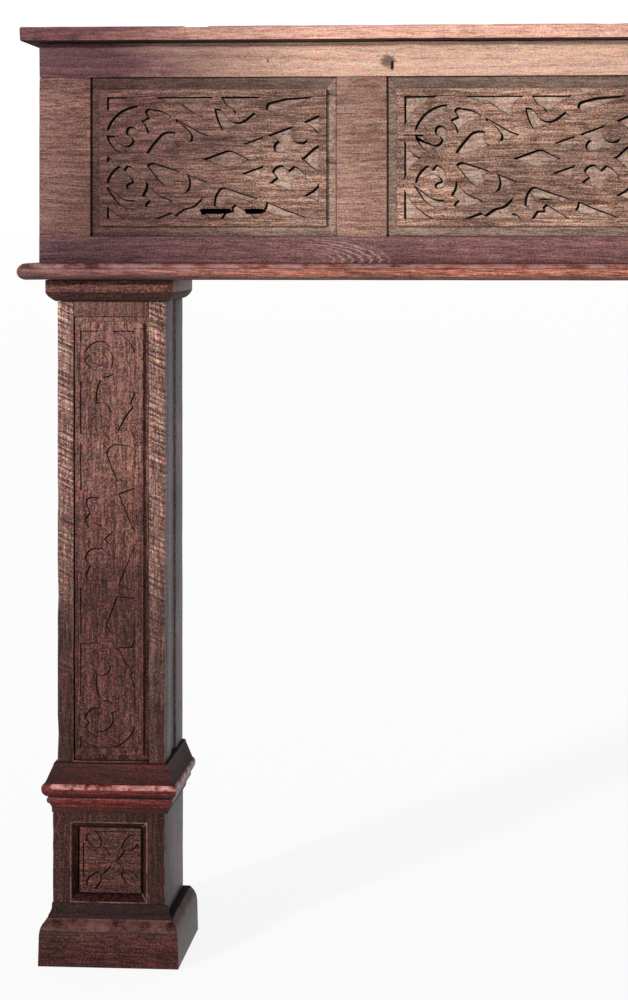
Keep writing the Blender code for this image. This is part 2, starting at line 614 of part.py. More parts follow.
def shaft_side(name, outside, inward, frame_back, z):
    """A side of the shaft, a board with a sunk strip along its outer face; inward points into the box."""
    mesh = bmesh.new()
    start, end = SHAFT_FRONT + SUNK_START, SHAFT_FRONT + SUNK_END
    sunk = outside + inward * SUNK_DEPTH
    inside = outside + inward * SHAFT_BOARD
    section = [(outside, frame_back + CLEAR), (outside, start), (sunk, start), (sunk, end),
               (outside, end), (outside, BACK), (inside, BACK), (inside, frame_back + CLEAR)]
    skin(mesh, [[mesh.verts.new((x, y, height)) for x, y in section] for height in z])
    keep(name, mesh, "leg_wood")


def capital(name, centre, half):
    foot, top = SHAFT_TOP, LEG_HEIGHT - CLEAR
    out = CAPITAL_PROJECTION
    profile = [(0, foot), (out * 0.7, foot + CAPITAL_BEVEL * 0.45), (out, foot + CAPITAL_BEVEL), (out, top)]
    profiled_slab(f"{name}_capital", "moulding_wood", centre, half, SHAFT_FRONT, profile)


BLOCK_FACES = {"front": BLOCK_PROJECTION, "outer": BLOCK_OUTER_PROJECTION, "inner": BLOCK_INNER_PROJECTION}


def waist_section(block_face):
    """The moulding between block and shaft: lip, slope, torus, bead and a small cove below."""
    level = BLOCK_HEIGHT
    out = WAIST_PROJECTION
    back = block_face + CLEAR
    torus_top = level + WAIST_TORUS - WAIST_LAP
    torus_foot = torus_top - WAIST_TORUS
    bead_foot = torus_foot - WAIST_BEAD
    cove_foot = bead_foot - WAIST_COVE
    lip = torus_top + WAIST_SLOPE
    section = [(back, cove_foot), (back, level + CLEAR), (CLEAR, level + CLEAR), (CLEAR, lip),
               (WAIST_LIP * 0.9, lip), (WAIST_LIP, lip - WAIST_LIP * 0.6), (out * 0.76, torus_top)]
    for across, down in ((0.86, 0.03), (0.96, 0.15), (1.0, 0.34), (0.97, 0.60), (0.86, 0.82), (0.70, 1.0)):
        section.append((out * across, torus_top - WAIST_TORUS * down))
    for across, down in ((0.55, 0.04), (0.64, 0.18), (0.66, 0.48), (0.60, 0.82), (0.49, 1.0)):
        section.append((out * across, torus_foot - WAIST_BEAD * down))
    section.append((out * 0.33, bead_foot - WAIST_COVE * 0.55))
    section.append((max(out * 0.24, back + CLEAR), cove_foot))
    return section


def waist(name, centre, side, half):
    sections = {run: waist_section(face) for run, face in BLOCK_FACES.items()}
    mitred_mouldings(f"{name}_waist_moulding", "moulding_wood", centre, side, half, SHAFT_FRONT, sections)


def block(name, centre, side, half):
    """The base block: a front board with a sloping square recess, two sides, and the carved tile."""
    outer = centre + side * (half + BLOCK_OUTER_PROJECTION)
    inner = centre - side * (half + BLOCK_INNER_PROJECTION)
    middle = (outer + inner) / 2
    front = SHAFT_FRONT - BLOCK_PROJECTION
    back = front + BLOCK_BOARD
    sill, lintel = RECESS_SILL, RECESS_SILL + RECESS_HEIGHT
    recess = (middle - RECESS_WIDTH / 2, middle + RECESS_WIDTH / 2)
    floor_x = (recess[0] + RECESS_SLOPE, recess[1] - RECESS_SLOPE)
    floor_z = (sill + RECESS_SLOPE, lintel - RECESS_SLOPE)
    mesh = bmesh.new()
    edge_x, edge_z = (outer, inner), (0, BLOCK_HEIGHT)
    skin(mesh, [rectangle(mesh, edge_x, edge_z, front), rectangle(mesh, recess, (sill, lintel), front),
                rectangle(mesh, floor_x, floor_z, back), rectangle(mesh, edge_x, edge_z, back)], closed=True)
    keep(f"{name}_block_front", mesh, "leg_wood")
    for place, outside, inward in (("outer", outer, -side), ("inner", inner, side)):
        board(f"{name}_block_{place}_side", "leg_wood", (outside, outside + inward * BLOCK_BOARD),
              (back + CLEAR, BACK), edge_z)
    board(f"{name}_tile_ground", "leg_wood", (floor_x[0] - TILE_LAP, floor_x[1] + TILE_LAP),
          (back + CLEAR, back + CLEAR + TILE_GROUND), (floor_z[0] - TILE_LAP, floor_z[1] + TILE_LAP))
    tile(name, (floor_x[0] + CLEAR, floor_x[1] - CLEAR), (floor_z[0] + CLEAR, floor_z[1] - CLEAR), back)


def tile(name, x, z, back):
    middle = ((x[0] + x[1]) / 2, (z[0] + z[1]) / 2)
    squares = ((x[1] - x[0]) / 2 / TILE_RISE, (z[1] - z[0]) / 2 / TILE_RISE)
    rings = []
    for corners in TILE_POCKETS.values():
        ring = outline(corners)
        for quarter in range(4):
            turned = ring
            for step in range(quarter):
                turned = [(-v, u) for u, v in turned]
            rings.append([(middle[0] + u * squares[0], middle[1] + v * squares[1]) for u, v in turned])
    pierced_board(f"{name}_tile", "leg_carving_wood", x, z, (back, back - TILE_THICKNESS), rings)


def plinth_section(block_face, with_cove):
    """Upright face, rounded shoulder and, on two sides, a small cove against the block."""
    out = PLINTH_PROJECTION
    back = block_face + CLEAR
    top = PLINTH_FACE + PLINTH_SHOULDER
    section = [(back, 0)]
    if with_cove:
        section += [(back, top + PLINTH_COVE), (back + CLEAR, top + PLINTH_COVE)]
        section += [(max(out * 0.32, back + 2 * CLEAR), top + PLINTH_COVE * 0.5),
                    (out * 0.46, top + PLINTH_COVE * 0.12)]
    else:
        section += [(back, top)]
    for across, up in ((0.50, 0.96), (0.60, 0.88), (0.73, 0.70), (0.85, 0.46), (0.925, 0.20), (0.945, 0.0)):
        section.append((out * across, PLINTH_FACE + PLINTH_SHOULDER * up))
    section.append((out, 0))
    return section


def plinth(name, centre, side, half):
    """Three mitred runs round the foot of the block."""
    sections = {run: plinth_section(face, run != "inner") for run, face in BLOCK_FACES.items()}
    mitred_mouldings(f"{name}_plinth", "leg_wood", centre, side, half, SHAFT_FRONT, sections)


def build():
    for thing in list(bpy.data.objects):
        bpy.data.objects.remove(thing)
    shelf()
    soffit()
    frieze_frame()
    panels = frieze_panels()
    fretwork = frieze_fretwork()
    broken_slots(panels["left"], fretwork["left"])
    leg("left", -1)
    leg("right", 1)


build()
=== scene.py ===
import math

import bmesh
import bpy
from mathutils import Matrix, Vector, noise


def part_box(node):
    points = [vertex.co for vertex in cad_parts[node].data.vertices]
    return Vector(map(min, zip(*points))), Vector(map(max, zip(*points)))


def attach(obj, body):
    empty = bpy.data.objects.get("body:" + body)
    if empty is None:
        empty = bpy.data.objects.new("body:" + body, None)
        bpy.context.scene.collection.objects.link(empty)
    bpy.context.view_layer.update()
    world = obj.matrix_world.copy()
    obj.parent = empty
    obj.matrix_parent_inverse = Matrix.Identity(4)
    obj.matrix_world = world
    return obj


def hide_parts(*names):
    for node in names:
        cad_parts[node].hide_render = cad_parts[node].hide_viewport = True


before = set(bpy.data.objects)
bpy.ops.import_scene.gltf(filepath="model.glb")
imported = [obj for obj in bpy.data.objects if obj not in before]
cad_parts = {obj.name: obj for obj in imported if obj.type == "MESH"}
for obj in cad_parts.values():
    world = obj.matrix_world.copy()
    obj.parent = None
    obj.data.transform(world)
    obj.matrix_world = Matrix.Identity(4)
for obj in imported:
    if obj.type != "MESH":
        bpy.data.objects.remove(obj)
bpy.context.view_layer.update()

print("frame loaded:", len(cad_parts), "nodes")

scene = bpy.context.scene

# Node helpers


def makeNode(tree, kind, inputs=None, **settings):
    node = tree.nodes.new(kind)
    for key, value in settings.items():
        setattr(node, key, value)
    for key, value in (inputs or {}).items():
        if isinstance(value, bpy.types.NodeSocket):
            tree.links.new(value, node.inputs[key])
        else:
            node.inputs[key].default_value = value
    return node


def calc(tree, operation, a, b=0.5, c=None):
    inputs = {0: a, 1: b}
    if c is not None:
        inputs[2] = c
    return makeNode(tree, "ShaderNodeMath", inputs, operation=operation).outputs[0]


def vectorCalc(tree, operation, a, b, out=0):
    return makeNode(tree, "ShaderNodeVectorMath", {0: a, 1: b}, operation=operation).outputs[out]


def blend(tree, factor, a, b, mode="MIX"):
    inputs = {0: factor, 6: a, 7: b}
    return makeNode(tree, "ShaderNodeMix", inputs, data_type="RGBA", blend_type=mode).outputs[2]


def remap(tree, value, low, high, toLow=0.0, toHigh=1.0):
    inputs = {0: value, 1: low, 2: high, 3: toLow, 4: toHigh}
    return makeNode(tree, "ShaderNodeMapRange", inputs).outputs[0]


def ramp(tree, value, stops):
    node = makeNode(tree, "ShaderNodeValToRGB", {0: value})
    band = node.color_ramp
    while len(band.elements) < len(stops):
        band.elements.new(0.5)
    for element, (place, colour) in zip(band.elements, stops):
        element.position = place
        element.color = (*colour, 1)
    return node.outputs[0]


def noiseAt(tree, vector, scale, detail=3.0, rough=0.5, out=0):
    inputs = {"Vector": vector, "Scale": scale, "Detail": detail, "Roughness": rough}
    return makeNode(tree, "ShaderNodeTexNoise", inputs).outputs[out]


def mapped(tree, vector, scale=(1, 1, 1), turn=(0, 0, 0), place=(0, 0, 0)):
    inputs = {"Vector": vector, "Scale": scale, "Rotation": turn, "Location": place}
    return makeNode(tree, "ShaderNodeMapping", inputs).outputs[0]


# Base plus each value's distance from its middle, times its weight
def weighed(tree, base, *parts):
    total = base
    for value, weight in parts:
        total = calc(tree, "MULTIPLY_ADD", calc(tree, "SUBTRACT", value, 0.5), weight, total)
    return total


# Old mahogany
woodDefaults = {
    "along": "x",              # axis the grain runs along
    "near": ((0.10, 0.04, 0.03), (0.20, 0.10, 0.08), (0.34, 0.19, 0.15)),   # dark, middling, light grain
    "far": None,               # the same, darker, towards the ends or the floor: partly painted shade where the light falls off, partly darker wood
    "fade": ("ends", 0.50, 0.74),   # towards the mantel's ends, or down towards the floor
    "fine": 1.0,               # how strongly each size of grain shows
    "coarse": 0.45,
    "rings": 0.12,
    "mottle": 1.3,
    "grit": 430.0,             # how small the mottle is
    "fleck": 0.6,              # strength of the red and grey flecks
    "pores": 0.5,
    "stain": 0.25,
    # edge colour and its strength: rubbed arrises, and painted highlights on the faces marked as lit
    "edge": (0.30, 0.14, 0.11),
    "edgeWearAndSheen": 0.5,
    # painted shade and dirt in the corners, and how far it reaches
    "shadeAndGrime": 0.9,
    "shadeAndGrimeReach": 0.0035,
    "sawAngle": 0.0,           # degrees from level
    "sawSpacing": 0.008,
    "saw": 0.0,
    "rough": 0.50,
    "shine": 0.15,
    "coat": 0.0,
    "bump": 0.6,
    "spots": (),               # knots and nail holes: x, z, half width, half height, depth of colour
    "cathedral": None,         # arched grain: x, z, half length, half height
    "shift": (0.0, 0.0, 0.0),
}
# Near black for painted shade and dirt, and for knots and nail holes
shadeAndSpotBlack = (0.006, 0.004, 0.004, 1)


grainLook = {
    "drift": (1.6, 5, 5),          # noise per metre along and across the grain: how it wanders
    "driftReach": 0.05,
    "fine": (34, 480, 480),
    "coarse": (2.6, 120, 120),
    "rings": {"Scale": 24.0, "Distortion": 5.0, "Detail": 3.0, "Detail Scale": 1.4, "Detail Roughness": 0.6},
    "stops": (0.24, 0.50, 0.76),   # where the dark, middling and light colours sit
    "patches": 6.0,                # broad stains
    "pores": (55, 900, 900),
    "poreLimits": (0.58, 0.70),
    "poreShade": 0.30,
    "rub": 38.0,                   # patches of wear on the arrises
    "rubLimits": (0.42, 0.60),
    "bareLimits": (0.40, 0.80),    # how open a corner is where the painted corner shade and dirt start and end
    "relief": 0.0012,
    "coatRoughness": 0.35,
}
sawLook = {
    "streaks": (12, 1, 250),
    "streakWeight": 3.0,
    "strokeWeight": 0.45,
    "patches": 17.0,
    "patchLimits": (0.36, 0.52),
    "levels": (0.35, 0.85, 0.25, 1.0),   # the marks fade towards the floor
    "light": (2.1, 2.2, 2.2),      # what a bright and a dark mark do to the wood's colour
    "dark": (0.25, 0.22, 0.22),
    "share": 0.8,
}
archLook = {"spacing": 0.050, "line": (0.031, 0.048), "share": 0.5, "colour": (0.62, 0.42, 0.36, 1)}


# How far a point lies from a spot's middle: 1 on its edge
def ellipse(tree, place, x, z, halfWidth, halfHeight):
    scale, shift = (1 / halfWidth, 0, 1 / halfHeight), (-x / halfWidth, 0, -z / halfHeight)
    return vectorCalc(tree, "LENGTH", mapped(tree, place, scale, place=shift), (0, 0, 0), out=1)


# Thin straight streaks, dark and light
def sawMarks(tree, look, place, level, colour, height):
    sawn = mapped(tree, place, turn=(0, math.radians(look["sawAngle"]), 0))
    streak = noiseAt(tree, mapped(tree, sawn, sawLook["streaks"]), 1.0, 3.0, 0.7)
    waveInputs = {"Vector": sawn, "Scale": 0.314 / look["sawSpacing"], "Distortion": 2.2, "Detail": 2.0,
                  "Detail Scale": 3.0}
    stroke = makeNode(tree, "ShaderNodeTexWave", waveInputs, wave_type="BANDS",
                      bands_direction="Z").outputs[1]
    patchy = remap(tree, noiseAt(tree, sawn, sawLook["patches"], 4.0, 0.65), *sawLook["patchLimits"])
    cut = weighed(tree, 0.0, (streak, sawLook["streakWeight"]), (stroke, sawLook["strokeWeight"]))
    cut = calc(tree, "MULTIPLY", calc(tree, "MULTIPLY", cut, patchy), look["saw"])
    cut = calc(tree, "MULTIPLY", cut, remap(tree, level, *sawLook["levels"]))
    lighter = vectorCalc(tree, "MULTIPLY", colour, sawLook["light"])
    darker = vectorCalc(tree, "MULTIPLY", colour, sawLook["dark"])
    for limits, marked in (((0.12, 0.45), lighter), ((-0.08, -0.40), darker)):
        share = calc(tree, "MULTIPLY", remap(tree, cut, *limits), sawLook["share"])
        colour = blend(tree, share, colour, marked)
    return colour, calc(tree, "ADD", height, cut)


# Arched light lines where the saw met the heart of the board
def archedGrain(tree, look, place, across, colour, coarse, mottle):
    x, z, halfLength, halfHeight = look["cathedral"]
    reach = ellipse(tree, place, x, z, halfLength, halfHeight)
    reach = weighed(tree, reach, (coarse, 0.25), (mottle, 0.06))
    line = remap(tree, calc(tree, "PINGPONG", reach, archLook["spacing"]), *archLook["line"])
    there = calc(tree, "MULTIPLY", remap(tree, reach, 1.12, 0.95), remap(tree, reach, 0.25, 0.45))
    there = calc(tree, "MULTIPLY", there, remap(tree, across, x, x + halfLength * 0.6))
    share = calc(tree, "MULTIPLY", calc(tree, "MULTIPLY", line, there), archLook["share"])
    return blend(tree, share, colour, archLook["colour"])


def agedWood(name, **changes):
    look = {**woodDefaults, **changes}
    material = bpy.data.materials.new(name)
    material.use_nodes = True
    tree = material.node_tree
    shader = tree.nodes["Principled BSDF"]
    place = makeNode(tree, "ShaderNodeTexCoord").outputs["Object"]
    axes = makeNode(tree, "ShaderNodeSeparateXYZ", {0: place}).outputs
    turn = {"x": (0, 0, 0), "z": (0, math.pi / 2, 0), "y": (0, 0, math.pi / 2)}[look["along"]]
    grain = mapped(tree, place, turn=turn, place=look["shift"])

    # The grain wanders a little along its length
    drift = noiseAt(tree, mapped(tree, grain, grainLook["drift"]), 1.0, 2.0)
    drift = calc(tree, "MULTIPLY", calc(tree, "SUBTRACT", drift, 0.5), grainLook["driftReach"])
    sideways = makeNode(tree, "ShaderNodeCombineXYZ", {1: drift, 2: drift}).outputs[0]
    bent = vectorCalc(tree, "ADD", grain, sideways)
    fine = noiseAt(tree, mapped(tree, bent, grainLook["fine"]), 1.0, 3.0, 0.6)
    coarse = noiseAt(tree, mapped(tree, bent, grainLook["coarse"]), 1.0, 5.0, 0.62)
    ringInputs = {"Vector": mapped(tree, bent, (0.25, 1, 1), place=(0, 0.09, 0.05)), **grainLook["rings"]}
    rings = makeNode(tree, "ShaderNodeTexWave", ringInputs, wave_type="RINGS", rings_direction="X",
                     wave_profile="SAW").outputs[1]
    mottle = noiseAt(tree, place, look["grit"], 3.0, 0.75)
    body = weighed(tree, 0.5, (fine, look["fine"]), (coarse, look["coarse"]), (rings, look["rings"]),
                   (mottle, look["mottle"]))
    colour = ramp(tree, body, list(zip(grainLook["stops"], look["near"])))
    # Darker towards the mantel's ends or the floor: partly painted shade where the light falls off, partly
    # darker wood
    if look["far"]:
        way, start, end = look["fade"]
        along = calc(tree, "ABSOLUTE", axes[0]) if way == "ends" else axes[2]
        ragged = noiseAt(tree, mapped(tree, place, (5, 5, 14)), 1.0, 4.0, 0.6)
        along = weighed(tree, along, (ragged, abs(end - start) * 1.2))
        faded = remap(tree, along, start, end)
        farther = ramp(tree, body, list(zip(grainLook["stops"], look["far"])))
        colour = blend(tree, faded, colour, farther)

    # Red and grey flecks, and stain in broad patches
    fleckPlace = mapped(tree, place, (1, 1, 1), place=(3, 1, 2))
    flecks = noiseAt(tree, fleckPlace, look["grit"] * 0.8, 2.0, 0.6, out=1)
    flecks = vectorCalc(tree, "MULTIPLY", flecks, [look["fleck"] * 2] * 3)
    flecks = vectorCalc(tree, "ADD", flecks, [1 - look["fleck"]] * 3)
    colour = blend(tree, 1.0, colour, flecks, "MULTIPLY")
    patch = noiseAt(tree, place, grainLook["patches"], 4.0, 0.6)
    patch = remap(tree, patch, 0.40, 0.60, 1.0 - look["stain"], 1.0 + look["stain"] / 3)
    patch = makeNode(tree, "ShaderNodeCombineColor", {0: patch, 1: patch, 2: patch}).outputs[0]
    colour = blend(tree, 1.0, colour, patch, "MULTIPLY")

    # Pores: short dark dashes along the grain
    pore = noiseAt(tree, mapped(tree, bent, grainLook["pores"]), 1.0, 2.0)
    pore = remap(tree, pore, *grainLook["poreLimits"])
    darkPore = (*[channel * grainLook["poreShade"] for channel in look["near"][0]], 1)
    colour = blend(tree, calc(tree, "MULTIPLY", pore, look["pores"]), colour, darkPore)
    height = weighed(tree, 0.0, (fine, 0.9), (coarse, 0.5), (mottle, 0.4), (pore, -0.3))

    if look["saw"]:
        colour, height = sawMarks(tree, look, place, axes[2], colour, height)
    if look["cathedral"]:
        colour = archedGrain(tree, look, place, axes[0], colour, coarse, mottle)
    for x, z, halfWidth, halfHeight, depth in look["spots"]:
        spot = ellipse(tree, place, x, z, halfWidth, halfHeight)
        uneven, streaky = (1.5, 0.8) if halfWidth > 0.004 else (0.2, 0.0)
        spot = remap(tree, weighed(tree, spot, (mottle, uneven), (fine, streaky)), 1.1, 0.7)
        colour = blend(tree, calc(tree, "MULTIPLY", spot, depth), colour, shadeAndSpotBlack)

    # Rubbed arrises, and painted highlights on the fretwork's chamfers, the waist's torus, the plinth's
    # shoulder and the nosing's top
    wearAndSheen = makeNode(tree, "ShaderNodeAttribute", attribute_name="wearAndSheen").outputs["Fac"]
    rub = remap(tree, noiseAt(tree, place, grainLook["rub"], 4.0, 0.65), *grainLook["rubLimits"])
    rubbedAndLit = calc(tree, "MULTIPLY", calc(tree, "MULTIPLY", wearAndSheen, rub), look["edgeWearAndSheen"])
    colour = blend(tree, rubbedAndLit, colour, (*look["edge"], 1))

    # Painted shade and dirt on chosen faces, and painted shade and dirt in the corners
    shadeAndDirt = makeNode(tree, "ShaderNodeAttribute", attribute_name="shadeAndDirt").outputs["Fac"]
    bare = makeNode(tree, "ShaderNodeAmbientOcclusion", {"Distance": look["shadeAndGrimeReach"]},
                    samples=6).outputs["AO"]
    shadeAndGrime = remap(tree, bare, *grainLook["bareLimits"], 1.0, 0.0)
    shadeAndGrime = calc(tree, "MULTIPLY", shadeAndGrime, look["shadeAndGrime"])
    colour = blend(tree, calc(tree, "MAXIMUM", shadeAndDirt, shadeAndGrime), colour, shadeAndSpotBlack)

    bumpInputs = {"Strength": look["bump"], "Distance": grainLook["relief"], "Height": height}
    bump = makeNode(tree, "ShaderNodeBump", bumpInputs).outputs[0]
    tree.links.new(colour, shader.inputs["Base Color"])
    roughness = calc(tree, "MULTIPLY_ADD", fine, 0.24, look["rough"] - 0.12)
    tree.links.new(calc(tree, "MULTIPLY_ADD", shadeAndDirt, 0.45, roughness), shader.inputs["Roughness"])
    tree.links.new(bump, shader.inputs["Normal"])
    shader.inputs["Specular IOR Level"].default_value = look["shine"]
    shader.inputs["Coat Weight"].default_value = look["coat"]
    shader.inputs["Coat Roughness"].default_value = grainLook["coatRoughness"]
    return material


palePine = ((0.28, 0.14, 0.10), (0.53, 0.325, 0.245), (0.68, 0.46, 0.34))
redPine = ((0.34, 0.15, 0.11), (0.64, 0.35, 0.27), (0.82, 0.52, 0.40))
duskyRed = ((0.024, 0.006, 0.010), (0.085, 0.030, 0.040), (0.18, 0.078, 0.080))
darkLeg = ((0.006, 0.001, 0.001), (0.024, 0.006, 0.004), (0.095, 0.030, 0.022))
frameKnot = (-0.3697, 1.3475, 0.012, 0.010, 0.75)
# Each far palette is a darker copy of its wood towards the ends or the floor: partly painted shade, partly
# darker wood
finishes = {
    "shelf": {
        "near": redPine, "far": ((0.04, 0.01, 0.012), (0.112, 0.034, 0.04), (0.22, 0.09, 0.085)),
        "fade": ("ends", 0.46, 0.8), "mottle": 0.9, "edgeWearAndSheen": 0.3, "stain": 0.08},
    "topRail": {
        "near": palePine, "far": duskyRed, "fade": ("ends", 0.5, 0.74), "edgeWearAndSheen": 0.2,
        "mottle": 1.0, "fine": 0.5, "stain": 0.08,
        "spots": (frameKnot, (-0.3635, 1.341, 0.0028, 0.008, 1.0), (-0.548, 1.349, 0.0014, 0.003, 0.9))},
    "footRail": {
        "near": ((0.05, 0.015, 0.018), (0.15, 0.065, 0.064), (0.29, 0.15, 0.14)), "far": duskyRed,
        "fade": ("ends", 0.52, 0.8), "edgeWearAndSheen": 0.1, "fine": 0.8,
        "cathedral": (-0.51, 1.052, 0.135, 0.034)},
    "stile": {
        "near": ((0.11, 0.045, 0.033), (0.26, 0.142, 0.108), (0.42, 0.26, 0.2)),
        "far": ((0.05, 0.018, 0.015), (0.152, 0.068, 0.056), (0.28, 0.15, 0.12)),
        "fade": ("ends", 0.48, 0.74), "edgeWearAndSheen": 0.3},
    "panel": {
        "near": ((0.14, 0.075, 0.058), (0.34, 0.22, 0.17), (0.52, 0.37, 0.3)),
        "far": ((0.035, 0.012, 0.01), (0.115, 0.05, 0.04), (0.24, 0.13, 0.1)),
        "fade": ("ends", 0.48, 0.74), "edgeWearAndSheen": 0.1, "shadeAndGrimeReach": 0.004},
    # fret: its light edge colour is partly rubbed wood, partly a painted highlight on the chamfers
    "fret": {
        "near": ((0.05, 0.018, 0.012), (0.215, 0.115, 0.082), (0.52, 0.33, 0.25)),
        "far": ((0.022, 0.006, 0.005), (0.088, 0.032, 0.028), (0.24, 0.11, 0.09)),
        "fade": ("ends", 0.48, 0.76), "fine": 0.9, "coarse": 0.7, "pores": 0.6, "stain": 0.4,
        "edgeWearAndSheen": 0.7, "edge": (0.5, 0.33, 0.26), "shadeAndGrime": 0.8},
    "leg": {
        "along": "z", "near": ((0.04, 0.012, 0.01), (0.15, 0.062, 0.05), (0.28, 0.14, 0.11)),
        "far": darkLeg, "fade": ("down", 0.95, 0.3), "mottle": 1.9, "grit": 380.0, "fleck": 0.9,
        "fine": 0.6},
    # The leg's sides: a grey-blue copy of the leg's wood, a painted reflection of bluish light from the side
    "legSide": {
        "along": "z", "near": ((0.03, 0.02, 0.022), (0.135, 0.102, 0.11), (0.26, 0.21, 0.22)),
        "far": ((0.018, 0.01, 0.011), (0.09, 0.062, 0.066), (0.19, 0.145, 0.15)),
        "fade": ("down", 0.95, 0.3), "mottle": 1.9, "grit": 380.0, "fleck": 0.9, "fine": 0.6,
        "edgeWearAndSheen": 0.3},
    "sawnStile": {
        "along": "z", "near": ((0.06, 0.02, 0.016), (0.26, 0.13, 0.108), (0.5, 0.3, 0.24)),
        "far": ((0.008, 0.002, 0.002), (0.03, 0.01, 0.008), (0.1, 0.038, 0.03)),
        "fade": ("down", 0.95, 0.38), "mottle": 1.7, "grit": 400.0, "fleck": 0.9, "sawAngle": -24.0,
        "saw": 1.6, "edge": (0.36, 0.18, 0.14)},
    "vine": {
        "along": "z", "near": ((0.04, 0.012, 0.009), (0.225, 0.095, 0.075), (0.42, 0.22, 0.17)),
        "far": ((0.01, 0.002, 0.002), (0.054, 0.015, 0.012), (0.15, 0.056, 0.043)),
        "fade": ("down", 1.0, 0.6), "mottle": 1.8, "grit": 400.0, "fleck": 0.9, "edgeWearAndSheen": 0.2,
        "shadeAndGrimeReach": 0.003},
    "block": {
        "along": "z", "near": darkLeg, "mottle": 2.0, "grit": 400.0, "fleck": 1.0, "edgeWearAndSheen": 0.6,
        "edge": (0.26, 0.14, 0.12), "stain": 0.35},
    "tile": {
        "near": ((0.01, 0.002, 0.002), (0.052, 0.014, 0.01), (0.17, 0.06, 0.042)), "mottle": 2.0,
        "grit": 400.0, "fleck": 1.0, "edgeWearAndSheen": 0.4, "edge": (0.28, 0.17, 0.14), "shadeAndGrime": 0.6},
    # nosing: the edge colour is a painted highlight on the faces that look up
    "nosing": {
        "near": ((0.07, 0.012, 0.008), (0.29, 0.082, 0.05), (0.56, 0.24, 0.15)),
        "far": ((0.03, 0.005, 0.005), (0.165, 0.048, 0.042), (0.32, 0.13, 0.11)),
        "fade": ("ends", 0.45, 0.8), "coat": 0.15, "rough": 0.4, "shine": 0.3, "mottle": 0.8,
        "fine": 1.2, "edge": (0.42, 0.24, 0.25), "edgeWearAndSheen": 0.7,
        "spots": ((-0.431, 1.0397, 0.0016, 0.0016, 1.0), (-0.2101, 1.041, 0.0016, 0.0016, 1.0))},
    "moulding": {
        "near": ((0.02, 0.004, 0.003), (0.105, 0.03, 0.022), (0.25, 0.1, 0.075)), "rough": 0.42,
        "shine": 0.15, "mottle": 1.8, "grit": 400.0, "fleck": 0.9, "edge": (0.36, 0.12, 0.09)},
    # waist and plinth: the edge colour is a painted highlight on the torus and the plinth's shoulder
    "waist": {
        "near": ((0.014, 0.001, 0.001), (0.078, 0.006, 0.005), (0.22, 0.03, 0.022)), "rough": 0.38,
        "shine": 0.2, "mottle": 1.7, "grit": 400.0, "fleck": 0.8, "edge": (0.6, 0.28, 0.26),
        "edgeWearAndSheen": 0.85},
    "plinth": {
        "near": ((0.006, 0.001, 0.001), (0.032, 0.005, 0.004), (0.11, 0.03, 0.025)), "mottle": 2.0,
        "grit": 400.0, "shine": 0.15, "rough": 0.42, "fleck": 1.0, "edge": (0.34, 0.16, 0.14)},
}
wood = {name: agedWood(name + "Wood", **look) for name, look in finishes.items()}
print("finishes made:", ", ".join(wood))


# Makes a finished bmesh the visible piece for these CAD nodes
def settle(name, bm, finish, slot, *nodes, sharp=32.0):
    for face in bm.faces:
        face.smooth = True
    for edge in bm.edges:
        edge.smooth = edge.is_manifold and edge.calc_face_angle() < math.radians(sharp)
    mesh = bpy.data.meshes.new(name)
    bm.to_mesh(mesh)
    bm.free()
    mesh.materials.append(wood[finish])
    piece = bpy.data.objects.new(name, mesh)
    scene.collection.objects.link(piece)
    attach(piece, "root")
    if nodes:
        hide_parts(*nodes)
    return piece


def faceLayer(bm, name):
    return bm.faces.layers.float.get(name) or bm.faces.layers.float.new(name)


# Pushes faces out into solids, and gives back the faces at the far side
def pushed(bm, faces, move):
    made = bmesh.ops.extrude_face_region(bm, geom=faces)["geom"]
    raised = [part for part in made if isinstance(part, bmesh.types.BMVert)]
    bmesh.ops.translate(bm, verts=raised, vec=move)
    return [part for part in made if isinstance(part, bmesh.types.BMFace)]


def sliced(bm, place, normal, **settings):
    everything = bm.verts[:] + bm.edges[:] + bm.faces[:]
    return bmesh.ops.bisect_plane(bm, geom=everything, plane_co=place, plane_no=normal, dist=1e-6, **settings)


# A plain block as large as the CAD piece
def slab(node):
    low, high = [Vector(corner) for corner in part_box(node)]
    bm = bmesh.new()
    worn, shaded = faceLayer(bm, "wearAndSheen"), faceLayer(bm, "shadeAndDirt")
    bmesh.ops.create_cube(bm, size=1.0)
    bmesh.ops.scale(bm, verts=bm.verts, vec=high - low)
    bmesh.ops.translate(bm, verts=bm.verts, vec=(high + low) / 2)
    return bm, low, high, worn, shaded


# Rounds every sharp edge a little and marks the new faces as rubbed
def easeEdges(bm, arris, fromAngle=25.0):
    layer = faceLayer(bm, "wearAndSheen")
    sharp = [edge for edge in bm.edges
             if edge.is_manifold and edge.calc_face_angle() > math.radians(fromAngle)]
    made = bmesh.ops.bevel(bm, geom=sharp, offset=arris, offset_type="OFFSET", segments=2, profile=0.5,
                           affect="EDGES", material=-1, clamp_overlap=True)
    for face in made["faces"]:
        face[layer] = 1.0


# Cuts a piece across its length, so that its arrises can wander
def crosscut(bm, axis, step):
    places = [vertex.co[axis] for vertex in bm.verts]
    low, high = min(places), max(places)
    count = max(1, round((high - low) / step))
    normal = Vector([1.0 if k == axis else 0.0 for k in range(3)])
    for k in range(1, count):
        sliced(bm, normal * (low + (high - low) * k / count), normal)


# Presses the rubbed arrises inwards by an uneven amount
def bruised(bm, amount, size=30.0):
    layer = faceLayer(bm, "wearAndSheen")
    bm.normal_update()
    moves = []
    for vertex in bm.verts:
        if any(face[layer] > 0.5 for face in vertex.link_faces):
            rise = noise.noise(vertex.co * size) * 0.5 + 0.5
            dent = max(0.0, noise.noise(vertex.co * size * 2.7 + Vector((7, 3, 1))) - 0.2) * 4
            moves.append((vertex, -vertex.normal * amount * (rise + dent)))
    for vertex, move in moves:
        vertex.co += move


